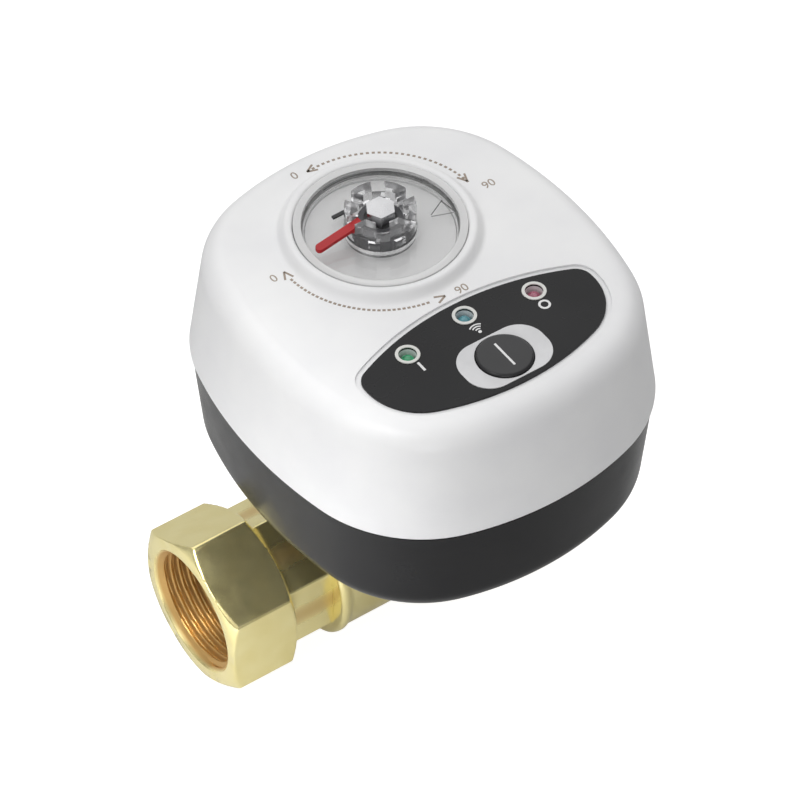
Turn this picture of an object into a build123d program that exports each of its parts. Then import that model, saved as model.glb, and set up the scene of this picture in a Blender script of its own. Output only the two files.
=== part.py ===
from build123d import *
import os
from math import acos, cos, pi, radians, sin, sqrt, tan

# Smart water valve: a brass ball valve with a motor drive and a hand knob on top of it.
# Millimetres. The origin is the middle of port A's mouth, +X runs along the pipe to port B,
# +Z runs up the valve stem to the dial, and the lamp panel is on the -Y side.

# Pipe run, worked out from the hexagon, which is 32 across its flats on a G3/4 end
LENGTH = 93.0
HEX_FLATS = 32.0
HEX_LENGTH = 15.0
NECK_STEP = 5.5
MOUTH_LIP = 2.3
MOUTH_DEPTH = 1.64
THREAD_LENGTH = 14.0
WATERWAY_R = 8.9
BORE_STEP = 0.2
BALL_R = 13.0
SEAT_SINK = 0.5
SPIGOT_LENGTH = 8.7
STEM_X = LENGTH / 2
NECK_FLATS = HEX_FLATS - NECK_STEP
MOUTH_R = HEX_FLATS / 2 - MOUTH_LIP
THREAD_R = MOUTH_R - MOUTH_DEPTH
BALL_BORE_R = WATERWAY_R - BORE_STEP
SPIGOT_END = STEM_X - BALL_R + SEAT_SINK
SEAM_X = SPIGOT_END - SPIGOT_LENGTH

# Fits, and one overrun for every cut
RUNNING_GAP = 0.06
SEAT_GAP = 0.05
FACE_GAP = 0.1
THRUST_GAP = 0.2
LOOSE_GAP = 0.3
OVERRUN = 1.0
HALF_TURN = 180
QUARTER_TURN = HALF_TURN / 2
CORNER_UP = HALF_TURN / 6

# Heights above the pipe axis: the housing's base, and what stands on it up to the cover's top
BASE_Z = 33.0
WALL = 2.5
CAN_CLEARANCE = 1.0
CAN_LENGTH = 19.0
PARTING_RISE = 1.5
PLATE_THICKNESS = 2.0
BUSH_ROOM = 2.0
GEAR_WIDTH = 5.0
WHEEL_ROOM = 0.5
WHEEL_WIDTH = 3.4
LID_ROOM = 0.8
LID_THICKNESS = 1.5
BOARD_ROOM = 2.5
BOARD_THICKNESS = 1.6
LAMP_ROOM = 3.7
FLOOR_Z = BASE_Z + WALL
CAN_LOW_Z = FLOOR_Z + CAN_CLEARANCE
PLATE_Z = CAN_LOW_Z + CAN_LENGTH
PARTING_Z = PLATE_Z + PARTING_RISE
PLATE_TOP = PLATE_Z + PLATE_THICKNESS
GEAR_Z = PLATE_TOP + BUSH_ROOM
GEAR_TOP = GEAR_Z + GEAR_WIDTH
WHEEL_Z = GEAR_TOP + WHEEL_ROOM
WHEEL_TOP = WHEEL_Z + WHEEL_WIDTH
LID_Z = WHEEL_TOP + LID_ROOM
LID_TOP = LID_Z + LID_THICKNESS
BOARD_Z = LID_TOP + BOARD_ROOM
BOARD_TOP = BOARD_Z + BOARD_THICKNESS
CEILING_Z = BOARD_TOP + LAMP_ROOM
TOP_Z = CEILING_Z + WALL

# Drive train: module, teeth and the places of its shafts about the stem
MODULE = 1.0
OUTPUT_TEETH = 42
PINION_TEETH = 14
WHEEL_TEETH = 30
MOTOR_TEETH = 12
PRESSURE_ANGLE = 25.0
MOTOR_ANGLE = 162.0
ADDENDUM_SHARE = 0.9
DEDENDUM_SHARE = 1.15
BACKLASH_SHARE = 0.14
ADDENDUM = ADDENDUM_SHARE * MODULE
DEDENDUM = DEDENDUM_SHARE * MODULE
BACKLASH = BACKLASH_SHARE * MODULE
OUTPUT_TIP_R = MODULE * OUTPUT_TEETH / 2 + ADDENDUM
CENTRE_DISTANCE = MODULE * (OUTPUT_TEETH + PINION_TEETH) / 2
MOTOR_DISTANCE = MODULE * (WHEEL_TEETH + MOTOR_TEETH) / 2
WHEEL_AXIS = (STEM_X, -CENTRE_DISTANCE)
MOTOR_AXIS = (STEM_X + MOTOR_DISTANCE * cos(radians(MOTOR_ANGLE)),
              -CENTRE_DISTANCE + MOTOR_DISTANCE * sin(radians(MOTOR_ANGLE)))

# Dial, panel, lamps and button on the cover, measured about the stem
DIAL_R = 16.8
BEZEL_HEIGHT = 1.9
BEZEL_WIDTH = 3.4
PANEL_GAP = 3.7
PANEL_DEPTH = 23.5
PANEL_SETBACK = 10.35
LAMP_X = 14.4
LAMP_DROP = 5.8
MIDDLE_LAMP_DROP = 3.6
BUTTON_RISE = 7.1
BUTTON_R = 5.4
BUTTON_TRAVEL = 0.6
BEZEL_FOOT_R = DIAL_R + BEZEL_WIDTH
PANEL_TOP_Y = -(BEZEL_FOOT_R + PANEL_GAP)
PANEL_LOW_Y = PANEL_TOP_Y - PANEL_DEPTH
LAMP_Y = PANEL_TOP_Y - LAMP_DROP
MIDDLE_LAMP_Y = PANEL_TOP_Y - MIDDLE_LAMP_DROP
BUTTON_Y = PANEL_LOW_Y + BUTTON_RISE

# Plan of the housing: its sides and back stand off the gearbox, and its front stands off the panel
POST_R = 2.6
POST_GAP = 1.0
POST_SETBACK = 5.0
POST_HIGH_Y = 8.0
PLATE_SIDE = 4.0
PLATE_REAR = 3.0
SHELL_BOSS_R = 4.2
BOSS_GAP = 0.9
BOSS_SIDE = 16.95
BOSS_SETBACK = 14.45
SIDE_ROOM = 10.45
SIDE_R = 92.0
FRONT_R = 64.0
CORNER_R = 27.8
COVER_DRAFT_SHARE = 0.15
SHELL_DRAFT_SHARE = 0.08
TOP_ROUND = 5.0
BASE_ROUND = 6.0
POST_X = OUTPUT_TIP_R + POST_GAP + POST_R
POST_LOW_Y = -(CENTRE_DISTANCE + POST_SETBACK)
PLATE_HALF_WIDTH = POST_X + PLATE_SIDE
PLATE_LOW_Y = POST_LOW_Y - PLATE_SIDE
PLATE_HIGH_Y = POST_HIGH_Y + PLATE_REAR
FRONT_Y = PANEL_LOW_Y - PANEL_SETBACK
REAR_Y = PLATE_HIGH_Y + BOSS_GAP + SHELL_BOSS_R + BOSS_SETBACK
HOUSING_Y = (REAR_Y + FRONT_Y) / 2
HALF_DEPTH = (REAR_Y - FRONT_Y) / 2
HALF_WIDTH = PLATE_HALF_WIDTH + SIDE_ROOM
BOSS_X = HALF_WIDTH - BOSS_SIDE
BOSS_Y = HALF_DEPTH - BOSS_SETBACK

STEM_AXIS = Axis((STEM_X, 0, 0), (0, 0, 1))

os.makedirs("parts", exist_ok=True)


def level(height, place=(STEM_X, 0)):
    """A horizontal plane at one height, with its origin on a vertical axis."""
    return Plane((place[0], place[1], height))


def upright(place):
    """A vertical plane through a vertical axis: local x is radial, local y is height."""
    return Plane((place[0], place[1], 0), x_dir=(1, 0, 0), z_dir=(0, -1, 0))


def save(piece, name):
    """Label a finished piece and write it under its own name."""
    piece.part.label = name
    export_step(piece.part, f"parts/{name}.step")


def turned(points, place=(STEM_X, 0)):
    """A piece turned about a vertical axis from (radius, height) points."""
    with BuildPart() as piece:
        with BuildSketch(upright(place)):
            with BuildLine():
                Polyline(*points, close=True)
            make_face()
        revolve(axis=Axis((place[0], place[1], 0), (0, 0, 1)))
    return piece.part


def bored(points):
    """A piece turned about the pipe axis from (x, radius) points."""
    with BuildPart() as piece:
        with BuildSketch(Plane.XZ):
            with BuildLine():
                Polyline(*points, close=True)
            make_face()
        revolve(axis=Axis.X)
    return piece.part


def ring(inner, outer, low, high, place=(STEM_X, 0)):
    """A plain ring about a vertical axis."""
    return turned([(inner, low), (outer, low), (outer, high), (inner, high)], place)


def discs(places, radius, low, high):
    """Upright round bars of one radius at several places."""
    with BuildPart() as bars:
        with BuildSketch(Plane.XY.offset(low)):
            with Locations(*places):
                Circle(radius)
        extrude(amount=high - low)
    return bars.part


def housing_outline(height, inset):
    """The housing's plan at one height, drawn in by an inset: four arcs with round corners."""
    with BuildSketch(Plane((STEM_X, HOUSING_Y, height))) as outline:
        with Locations((HALF_WIDTH - SIDE_R, 0)):
            Circle(SIDE_R - inset)
        with Locations((SIDE_R - HALF_WIDTH, 0)):
            Circle(SIDE_R - inset, mode=Mode.INTERSECT)
        with Locations((0, HALF_DEPTH - FRONT_R)):
            Circle(FRONT_R - inset, mode=Mode.INTERSECT)
        with Locations((0, FRONT_R - HALF_DEPTH)):
            Circle(FRONT_R - inset, mode=Mode.INTERSECT)
        rows = outline.vertices().group_by(Axis.Y)
        fillet(rows[0] + rows[-1], CORNER_R - inset)
    return outline.sketch


def housing_block(low, low_inset, high, high_inset):
    """The housing's solid between two heights, each with its own inset."""
    with BuildPart() as block:
        loft([housing_outline(low, low_inset), housing_outline(high, high_inset)], ruled=True)
    return block.part


def hex_run(start, length, flats):
    """A hexagonal length of the pipe run, with a corner at the top."""
    with BuildPart() as run:
        with BuildSketch(Plane.YZ.offset(start)):
            RegularPolygon(flats / 2, side_count=6, major_radius=False, rotation=CORNER_UP)
        extrude(amount=length)
    return run.part


# Pipe run: the screwed-in end that the photograph shows, and the forged body
CORNERS_R = HEX_FLATS / sqrt(3)
HEX_CHAMFER = 2.2
HEX_CHAMFER_RUN = 1.3
FACE_R = CORNERS_R - HEX_CHAMFER
CAVITY_GAP = 0.4
SPIGOT_STEP = 0.5
BODY_WALL = 2.9
COLLAR_RISE = 0.5
COLLAR_WIDTH = 2.6
COLLAR_ROUND = 1.0
CONE_LENGTH = 2.4
BOSS_R = 12.0
FLANGE_LIP = 3.5
FLANGE_THICKNESS = 3.5
STEM_R = 4.5
SHOULDER_STEP = 2.0
SHOULDER_GAP = 0.6
SHOULDER_THICKNESS = 1.8
WASHER_THICKNESS = 0.8
PACKING_WIDTH = 2.7
PACKING_THICKNESS = 2.4
PACKING_SINK = 6.4
GLAND_RISE = 0.6
NECK_WALL = 1.05
NECK_FLAT_DEPTH = 1.25
NECK_HEIGHT = 11.0
GASKET_THICKNESS = 0.5
ORING_SECTION_R = 0.42
ORING_GROOVE_WIDTH = 1.3
ORING_SETBACK = 3.7
CAVITY_R = BALL_R + CAVITY_GAP
SPIGOT_R = CAVITY_R + SPIGOT_STEP
BARREL_R = SPIGOT_R + BODY_WALL
COLLAR_R = BARREL_R + COLLAR_RISE
FLANGE_R = BOSS_R + FLANGE_LIP
SHOULDER_R = STEM_R + SHOULDER_STEP
SHOULDER_Z = BALL_R + SHOULDER_GAP
SHOULDER_TOP = SHOULDER_Z + SHOULDER_THICKNESS
PACKING_R = STEM_R + PACKING_WIDTH
NECK_FLAT_WIDTH = 2 * (PACKING_R + NECK_WALL)
NECK_R = NECK_FLAT_WIDTH / 2 + NECK_FLAT_DEPTH
NECK_TOP = BASE_Z + NECK_HEIGHT
PACKING_Z = NECK_TOP - PACKING_SINK
GLAND_TOP = NECK_TOP + GLAND_RISE
FLANGE_Z = BASE_Z - GASKET_THICKNESS
ORING_GROOVE_X = SEAM_X + ORING_SETBACK
ORING_GROOVE_R = SPIGOT_R - 2 * ORING_SECTION_R


def chamfered_hex(start):
    """One threaded end's hexagon, with its corners turned off at both faces."""
    end = start + HEX_LENGTH
    blank = bored([(start, 0), (start, FACE_R), (start + HEX_CHAMFER_RUN, CORNERS_R),
                   (end - HEX_CHAMFER_RUN, CORNERS_R), (end, FACE_R), (end, 0)])
    with BuildPart() as piece:
        add(hex_run(start, HEX_LENGTH, HEX_FLATS))
        add(blank, mode=Mode.INTERSECT)
    return piece.part


def port_bore(mouth, inward):
    """The water passage of one end: mouth chamfer, tapping-size bore, cone and waterway."""
    depths = [(-OVERRUN, MOUTH_R + OVERRUN), (MOUTH_DEPTH, THREAD_R), (THREAD_LENGTH, THREAD_R),
              (THREAD_LENGTH + CONE_LENGTH, WATERWAY_R), (STEM_X, WATERWAY_R)]
    profile = [(mouth + inward * depth, radius) for depth, radius in depths]
    return bored([(profile[0][0], 0)] + profile + [(profile[-1][0], 0)])


with BuildPart() as end_adapter:
    add(chamfered_hex(0))
    add(hex_run(HEX_LENGTH, SEAM_X - HEX_LENGTH, NECK_FLATS))
    add(bored([(SEAM_X, 0), (SEAM_X, SPIGOT_R), (SPIGOT_END, SPIGOT_R), (SPIGOT_END, 0)]))
    add(bored([(ORING_GROOVE_X, ORING_GROOVE_R), (ORING_GROOVE_X, SPIGOT_R + OVERRUN),
               (ORING_GROOVE_X + ORING_GROOVE_WIDTH, SPIGOT_R + OVERRUN),
               (ORING_GROOVE_X + ORING_GROOVE_WIDTH, ORING_GROOVE_R)]), mode=Mode.SUBTRACT)
    add(port_bore(0, 1), mode=Mode.SUBTRACT)
save(end_adapter, "end_adapter")

with BuildPart() as adapter_oring:
    with Locations(Location((ORING_GROOVE_X + ORING_GROOVE_WIDTH / 2, 0, 0), (0, QUARTER_TURN, 0))):
        Torus(ORING_GROOVE_R + ORING_SECTION_R, ORING_SECTION_R)
save(adapter_oring, "adapter_oring")

BARREL_END = LENGTH - SEAM_X
FAR_SHOULDER = LENGTH - SPIGOT_END

with BuildPart() as valve_body:
    add(chamfered_hex(LENGTH - HEX_LENGTH))
    add(hex_run(BARREL_END, LENGTH - HEX_LENGTH - BARREL_END, NECK_FLATS))
    add(bored([(SEAM_X, 0), (SEAM_X, COLLAR_R - COLLAR_ROUND), (SEAM_X + COLLAR_ROUND, COLLAR_R),
               (SEAM_X + COLLAR_WIDTH - COLLAR_ROUND, COLLAR_R), (SEAM_X + COLLAR_WIDTH, BARREL_R),
               (BARREL_END - COLLAR_WIDTH, BARREL_R), (BARREL_END - COLLAR_WIDTH + COLLAR_ROUND, COLLAR_R),
               (BARREL_END - COLLAR_ROUND, COLLAR_R), (BARREL_END, COLLAR_R - COLLAR_ROUND),
               (BARREL_END, 0)]))
    add(turned([(0, 0), (BOSS_R, 0), (BOSS_R, FLANGE_Z - FLANGE_THICKNESS),
                (FLANGE_R, FLANGE_Z - FLANGE_THICKNESS), (FLANGE_R, FLANGE_Z), (0, FLANGE_Z)]))
    with BuildSketch(level(FLANGE_Z)):
        Circle(NECK_R)
        Rectangle(2 * NECK_R, NECK_FLAT_WIDTH, mode=Mode.INTERSECT)
    extrude(amount=NECK_TOP - FLANGE_Z)
    add(bored([(SEAM_X - OVERRUN, 0), (SEAM_X - OVERRUN, SPIGOT_R + SEAT_GAP),
               (SPIGOT_END, SPIGOT_R + SEAT_GAP), (SPIGOT_END, CAVITY_R), (FAR_SHOULDER, CAVITY_R),
               (FAR_SHOULDER, 0)]), mode=Mode.SUBTRACT)
    add(port_bore(LENGTH, -1), mode=Mode.SUBTRACT)
    add(turned([(0, 0), (SHOULDER_R + LOOSE_GAP, 0),
                (SHOULDER_R + LOOSE_GAP, SHOULDER_TOP + WASHER_THICKNESS),
                (STEM_R + RUNNING_GAP, SHOULDER_TOP + WASHER_THICKNESS), (STEM_R + RUNNING_GAP, PACKING_Z),
                (PACKING_R + SEAT_GAP, PACKING_Z), (PACKING_R + SEAT_GAP, NECK_TOP + OVERRUN),
                (0, NECK_TOP + OVERRUN)]), mode=Mode.SUBTRACT)
save(valve_body, "valve_body")

# Ball, its seats and the stem
SLOT_WIDTH = 5.0
SLOT_DEPTH = 3.4
TANG_LENGTH = 11.0
SEAT_RING_GAP = 0.2
SEAT_DEPTH = 5.2
SQUARE_SHARE = 1.4
SQUARE_RISE = 1.4
SQUARE_LENGTH = 7.0
GROOVE_DEPTH = 0.8
GROOVE_WIDTH = 1.9
GROOVE_DROPS = (10.5, 5.5)
SLOT_Z = BALL_R - SLOT_DEPTH
TANG_WIDTH = SLOT_WIDTH - LOOSE_GAP
SEAT_RING_R = CAVITY_R - SEAT_RING_GAP
SQUARE_WIDTH = SQUARE_SHARE * STEM_R
SQUARE_Z = GLAND_TOP + SQUARE_RISE
SQUARE_TOP = SQUARE_Z + SQUARE_LENGTH
GROOVE_R = STEM_R - GROOVE_DEPTH
GROOVE_ZS = [FLANGE_Z - drop for drop in GROOVE_DROPS]

with BuildPart() as ball:
    with Locations((STEM_X, 0, 0)):
        Sphere(BALL_R)
        Cylinder(BALL_BORE_R, 2 * (BALL_R + OVERRUN), rotation=(0, QUARTER_TURN, 0), mode=Mode.SUBTRACT)
    with BuildSketch(level(SLOT_Z)):
        Rectangle(SLOT_WIDTH, 2 * BALL_R)
    extrude(amount=BALL_R, mode=Mode.SUBTRACT)
save(ball, "ball")


with BuildPart() as seat_upstream:
    add(bored([(SPIGOT_END, WATERWAY_R), (SPIGOT_END, SEAT_RING_R), (SPIGOT_END + SEAT_DEPTH, SEAT_RING_R),
               (SPIGOT_END + SEAT_DEPTH, WATERWAY_R)]))
    with Locations((STEM_X, 0, 0)):
        Sphere(BALL_R + SEAT_GAP, mode=Mode.SUBTRACT)
save(seat_upstream, "seat_upstream")

with BuildPart() as seat_downstream:
    add(mirror(seat_upstream.part, about=Plane.YZ.offset(STEM_X)))
save(seat_downstream, "seat_downstream")

with BuildPart() as stem:
    grooved = [(0, SHOULDER_Z), (SHOULDER_R, SHOULDER_Z), (SHOULDER_R, SHOULDER_TOP),
               (STEM_R, SHOULDER_TOP)]
    for groove_z in GROOVE_ZS:
        grooved += [(STEM_R, groove_z), (GROOVE_R, groove_z), (GROOVE_R, groove_z + GROOVE_WIDTH),
                    (STEM_R, groove_z + GROOVE_WIDTH)]
    grooved += [(STEM_R, SQUARE_Z), (0, SQUARE_Z)]
    add(turned(grooved))
    with BuildSketch(level(SLOT_Z + LOOSE_GAP)):
        Rectangle(TANG_WIDTH, TANG_LENGTH)
    extrude(amount=SHOULDER_Z - SLOT_Z - LOOSE_GAP)
    with BuildSketch(level(SQUARE_Z)):
        Rectangle(SQUARE_WIDTH, SQUARE_WIDTH)
    extrude(amount=SQUARE_TOP - SQUARE_Z)
save(stem, "stem")

with BuildPart() as stem_orings:
    for groove_z in GROOVE_ZS:
        with Locations((STEM_X, 0, groove_z + GROOVE_WIDTH / 2)):
            Torus(GROOVE_R + ORING_SECTION_R, ORING_SECTION_R)
save(stem_orings, "stem_orings")

with BuildPart() as stem_thrust_washer:
    add(ring(STEM_R + RUNNING_GAP, SHOULDER_R, SHOULDER_TOP, SHOULDER_TOP + WASHER_THICKNESS))
save(stem_thrust_washer, "stem_thrust_washer")

with BuildPart() as packing_ring:
    add(ring(STEM_R + RUNNING_GAP, PACKING_R, PACKING_Z, PACKING_Z + PACKING_THICKNESS))
save(packing_ring, "packing_ring")

GLAND_SLOT_WIDTH = 2.0
GLAND_SLOT_DEPTH = 1.6

with BuildPart() as gland_nut:
    add(ring(STEM_R + LOOSE_GAP, PACKING_R, PACKING_Z + PACKING_THICKNESS, GLAND_TOP))
    with BuildSketch(level(GLAND_TOP - GLAND_SLOT_DEPTH)):
        Rectangle(2 * (PACKING_R + OVERRUN), GLAND_SLOT_WIDTH)
    extrude(amount=GLAND_SLOT_DEPTH + OVERRUN, mode=Mode.SUBTRACT)
save(gland_nut, "gland_nut")

# The clamp that holds the drive on the valve's threaded neck
NECK_GASKET_INSET = 1.0
CLAMP_WASHER_INSET = 0.5
CLAMP_WASHER_THICKNESS = 1.5
CLAMP_NUT_WALL = 4.0
CLAMP_NUT_HEIGHT = 5.5
NECK_GASKET_R = FLANGE_R - NECK_GASKET_INSET
CLAMP_WASHER_R = FLANGE_R - CLAMP_WASHER_INSET
CLAMP_NUT_FLATS = 2 * (NECK_R + CLAMP_NUT_WALL)
CLAMP_WASHER_TOP = FLOOR_Z + CLAMP_WASHER_THICKNESS

with BuildPart() as neck_gasket:
    add(ring(NECK_R + LOOSE_GAP, NECK_GASKET_R, FLANGE_Z, BASE_Z))
save(neck_gasket, "neck_gasket")


def neck_hole(low, high):
    """The flat-sided hole that stops the drive from turning on the neck."""
    with BuildPart() as hole:
        with BuildSketch(level(low)):
            Circle(NECK_R + SEAT_GAP)
            Rectangle(2 * (NECK_R + OVERRUN), NECK_FLAT_WIDTH + 2 * SEAT_GAP, mode=Mode.INTERSECT)
        extrude(amount=high - low)
    return hole.part


with BuildPart() as clamp_washer:
    with BuildSketch(level(FLOOR_Z)):
        Circle(CLAMP_WASHER_R)
    extrude(amount=CLAMP_WASHER_THICKNESS)
    add(neck_hole(FLOOR_Z - OVERRUN, CLAMP_WASHER_TOP + OVERRUN), mode=Mode.SUBTRACT)
save(clamp_washer, "clamp_washer")

with BuildPart() as clamp_nut:
    with BuildSketch(level(CLAMP_WASHER_TOP)):
        RegularPolygon(CLAMP_NUT_FLATS / 2, side_count=6, major_radius=False)
        Circle(NECK_R + SEAT_GAP, mode=Mode.SUBTRACT)
    extrude(amount=CLAMP_NUT_HEIGHT)
save(clamp_nut, "clamp_nut")

# Lower shell: a tray with screw bosses, posts for the gearbox and a socket in its back wall
SHELL_STEP = 0.35
SEAM_GAP = 0.3
SHELL_TOP = PARTING_Z - SEAM_GAP
COVER_BOSS_R = 3.4
SCREW_R = 1.5
SCREW_HEAD_R = 2.7
SCREW_HEAD_HEIGHT = 1.6
HEAD_RECESS = 2.6
GEARBOX_SCREW_R = 1.25
RIM_GROOVE_INSET = 0.8
GASKET_WIDTH = 1.0
GASKET_LOW = 0.8
GASKET_HIGH = 0.6
INLET_RISE = 11.5
INLET_BARREL_R = 4.4
POCKET_R = 6.4
POCKET_DEPTH = 0.9
GEARBOX_SCREW_DEPTH = 10.5
INLET_Z = FLOOR_Z + INLET_RISE
GEARBOX_SCREW_Z = PLATE_Z - GEARBOX_SCREW_DEPTH
HEAD_SEAT_Z = BASE_Z + HEAD_RECESS

BOSSES = [(STEM_X + sx * BOSS_X, HOUSING_Y + sy * BOSS_Y) for sx in (-1, 1) for sy in (-1, 1)]
POSTS = [(STEM_X + sx * POST_X, y) for sx in (-1, 1) for y in (POST_LOW_Y, POST_HIGH_Y)]


def shell_inset(height):
    """How far the lower shell's side is drawn in at one height."""
    return SHELL_STEP + (PARTING_Z - height) * SHELL_DRAFT_SHARE


def cover_inset(height):
    """How far the cover's side is drawn in at one height."""
    return (height - PARTING_Z) * COVER_DRAFT_SHARE


REAR_WALL_Y = HOUSING_Y + HALF_DEPTH - shell_inset(INLET_Z)
REAR_INNER_Y = REAR_WALL_Y - WALL
POCKET_Y = REAR_WALL_Y - POCKET_DEPTH


def rearward(y):
    """A vertical plane across the stem line at one depth, facing the back."""
    return Plane((STEM_X, y, INLET_Z), x_dir=(-1, 0, 0), z_dir=(0, 1, 0))


with BuildPart() as lower_shell:
    add(housing_block(BASE_Z, shell_inset(BASE_Z), SHELL_TOP, shell_inset(SHELL_TOP)))
    fillet(lower_shell.edges().group_by(Axis.Z)[0], BASE_ROUND)
    add(housing_block(FLOOR_Z, shell_inset(FLOOR_Z) + WALL, PARTING_Z, shell_inset(PARTING_Z) + WALL),
        mode=Mode.SUBTRACT)
    add(discs(BOSSES, SHELL_BOSS_R, FLOOR_Z, SHELL_TOP))
    add(discs(POSTS, POST_R, FLOOR_Z, PLATE_Z))
    add(discs(BOSSES, SCREW_R + LOOSE_GAP, BASE_Z - OVERRUN, SHELL_TOP + OVERRUN), mode=Mode.SUBTRACT)
    add(discs(BOSSES, SCREW_HEAD_R + LOOSE_GAP, BASE_Z - OVERRUN, HEAD_SEAT_Z), mode=Mode.SUBTRACT)
    add(discs(POSTS, GEARBOX_SCREW_R + SEAT_GAP, GEARBOX_SCREW_Z, PLATE_Z + OVERRUN), mode=Mode.SUBTRACT)
    with BuildSketch(Plane.XY.offset(SHELL_TOP - GASKET_LOW)):
        add(housing_outline(0, SHELL_STEP + RIM_GROOVE_INSET - SEAT_GAP))
        add(housing_outline(0, SHELL_STEP + RIM_GROOVE_INSET + GASKET_WIDTH + SEAT_GAP), mode=Mode.SUBTRACT)
    extrude(amount=GASKET_LOW + OVERRUN, mode=Mode.SUBTRACT)
    with BuildSketch(rearward(REAR_INNER_Y - OVERRUN)):
        Circle(INLET_BARREL_R + SEAT_GAP)
    extrude(amount=WALL + 2 * OVERRUN, mode=Mode.SUBTRACT)
    with BuildSketch(rearward(POCKET_Y)):
        Circle(POCKET_R)
    extrude(amount=POCKET_DEPTH + OVERRUN, mode=Mode.SUBTRACT)
    add(neck_hole(BASE_Z - OVERRUN, FLOOR_Z + OVERRUN), mode=Mode.SUBTRACT)
save(lower_shell, "lower_shell")

# Upper cover: the white shell with the raised dial ring, the panel's recess and the board's posts
LEDGE_WIDTH = 2.2
PLATE_LEDGE_WIDTH = 4.3
PLATE_LEDGE_RISE = 0.1
LEDGE_RISE = 1.2
DIAL_SEAT_DROP = 1.5
DIAL_SEAT_WALL = 1.8
CROWN_WIDTH = 1.0
CROWN_ROUND = 0.5
PANEL_TOP_R = 57.7
PANEL_LOW_R = 52.7
PANEL_END = 11.4
PANEL_TOP_CORNER_SHARE = 0.33761
PANEL_LOW_CORNER_SHARE = 1.12537
PANEL_MARGIN = 1.1
RECESS_DEPTH = 0.5
LAMP_HOLE_R = 1.75
BUTTON_GAP = 0.25
BOARD_FRONT_ROOM = 9.7
BOARD_REAR_ROOM = 5.5
BOARD_EDGE = 2.5
BOARD_POST_OFFSET = 1.1
BOARD_POST_R = 2.4
BOARD_SCREW_R = 1.0
BOARD_SCREW_SINK = 1.0
SCREW_REACH = 9.0
LEDGE_R = DIAL_R - LEDGE_WIDTH
PLATE_LEDGE_R = DIAL_R - PLATE_LEDGE_WIDTH
PLATE_LEDGE_Z = CEILING_Z + PLATE_LEDGE_RISE
LEDGE_Z = PLATE_LEDGE_Z + LEDGE_RISE
DIAL_SEAT_Z = CEILING_Z - DIAL_SEAT_DROP
DIAL_SEAT_R = DIAL_R + DIAL_SEAT_WALL
CROWN_R = DIAL_R + CROWN_WIDTH
CROWN_MIDDLE_R = (CROWN_R + BEZEL_FOOT_R) / 2
PANEL_HALF_WIDTH = LAMP_X + PANEL_END
PANEL_TOP_END_Y = PANEL_TOP_Y - PANEL_TOP_R + sqrt(PANEL_TOP_R ** 2 - PANEL_HALF_WIDTH ** 2)
PANEL_LOW_END_Y = PANEL_LOW_Y + PANEL_LOW_R - sqrt(PANEL_LOW_R ** 2 - PANEL_HALF_WIDTH ** 2)
PANEL_SIDE = PANEL_TOP_END_Y - PANEL_LOW_END_Y
PANEL_TOP_CORNER_R = PANEL_TOP_CORNER_SHARE * PANEL_SIDE
PANEL_LOW_CORNER_R = PANEL_LOW_CORNER_SHARE * PANEL_SIDE
BOARD_FRONT_Y = BUTTON_Y - BOARD_FRONT_ROOM
BOARD_REAR_Y = MIDDLE_LAMP_Y + BOARD_REAR_ROOM
BOARD_POST_X = LAMP_X + BOARD_POST_OFFSET
BOARD_POST_FRONT_Y = BOARD_FRONT_Y + BOARD_EDGE
BOARD_POST_REAR_Y = BOARD_REAR_Y - BOARD_EDGE
BOARD_SCREW_TIP = CEILING_Z - BOARD_SCREW_SINK
RECESS_Z = TOP_Z - RECESS_DEPTH
BEZEL_TOP = TOP_Z + BEZEL_HEIGHT
SCREW_TIP = PARTING_Z + SCREW_REACH
GASKET_TOP = PARTING_Z + GASKET_HIGH

LAMPS = [(STEM_X - LAMP_X, LAMP_Y), (STEM_X, MIDDLE_LAMP_Y), (STEM_X + LAMP_X, LAMP_Y)]
BUTTON = (STEM_X, BUTTON_Y)
BOARD_POSTS = [(STEM_X + sx * BOARD_POST_X, y)
               for sx in (-1, 1) for y in (BOARD_POST_FRONT_Y, BOARD_POST_REAR_Y)]


def half_moon(height, grow):
    """The panel's outline: a wide arc at the dial, a wide arc at the front and four round corners."""
    with BuildSketch(level(height)) as outline:
        with Locations((0, PANEL_TOP_Y - PANEL_TOP_R)):
            Circle(PANEL_TOP_R + grow)
        with Locations((0, PANEL_LOW_Y + PANEL_LOW_R)):
            Circle(PANEL_LOW_R + grow, mode=Mode.INTERSECT)
        with Locations((0, (PANEL_TOP_Y + PANEL_LOW_Y) / 2)):
            Rectangle(2 * (PANEL_HALF_WIDTH + grow), 2 * PANEL_HALF_WIDTH, mode=Mode.INTERSECT)
        rows = outline.vertices().sort_by(Axis.Y)
        fillet(rows[-2:], PANEL_TOP_CORNER_R + grow)
        rows = outline.vertices().sort_by(Axis.Y)
        fillet(rows[:2], PANEL_LOW_CORNER_R + grow)
    return outline.sketch


with BuildPart() as dial_ring:
    with BuildSketch(upright((STEM_X, 0))):
        with BuildLine():
            Polyline((BEZEL_FOOT_R, TOP_Z), (BEZEL_FOOT_R, TOP_Z - OVERRUN), (DIAL_R, TOP_Z - OVERRUN),
                     (DIAL_R, BEZEL_TOP - CROWN_ROUND), (DIAL_R + CROWN_ROUND, BEZEL_TOP),
                     (CROWN_R, BEZEL_TOP))
            Bezier((CROWN_R, BEZEL_TOP), (CROWN_MIDDLE_R, BEZEL_TOP),
                   (CROWN_MIDDLE_R, TOP_Z), (BEZEL_FOOT_R, TOP_Z))
        make_face()
    revolve(axis=STEM_AXIS)

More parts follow.
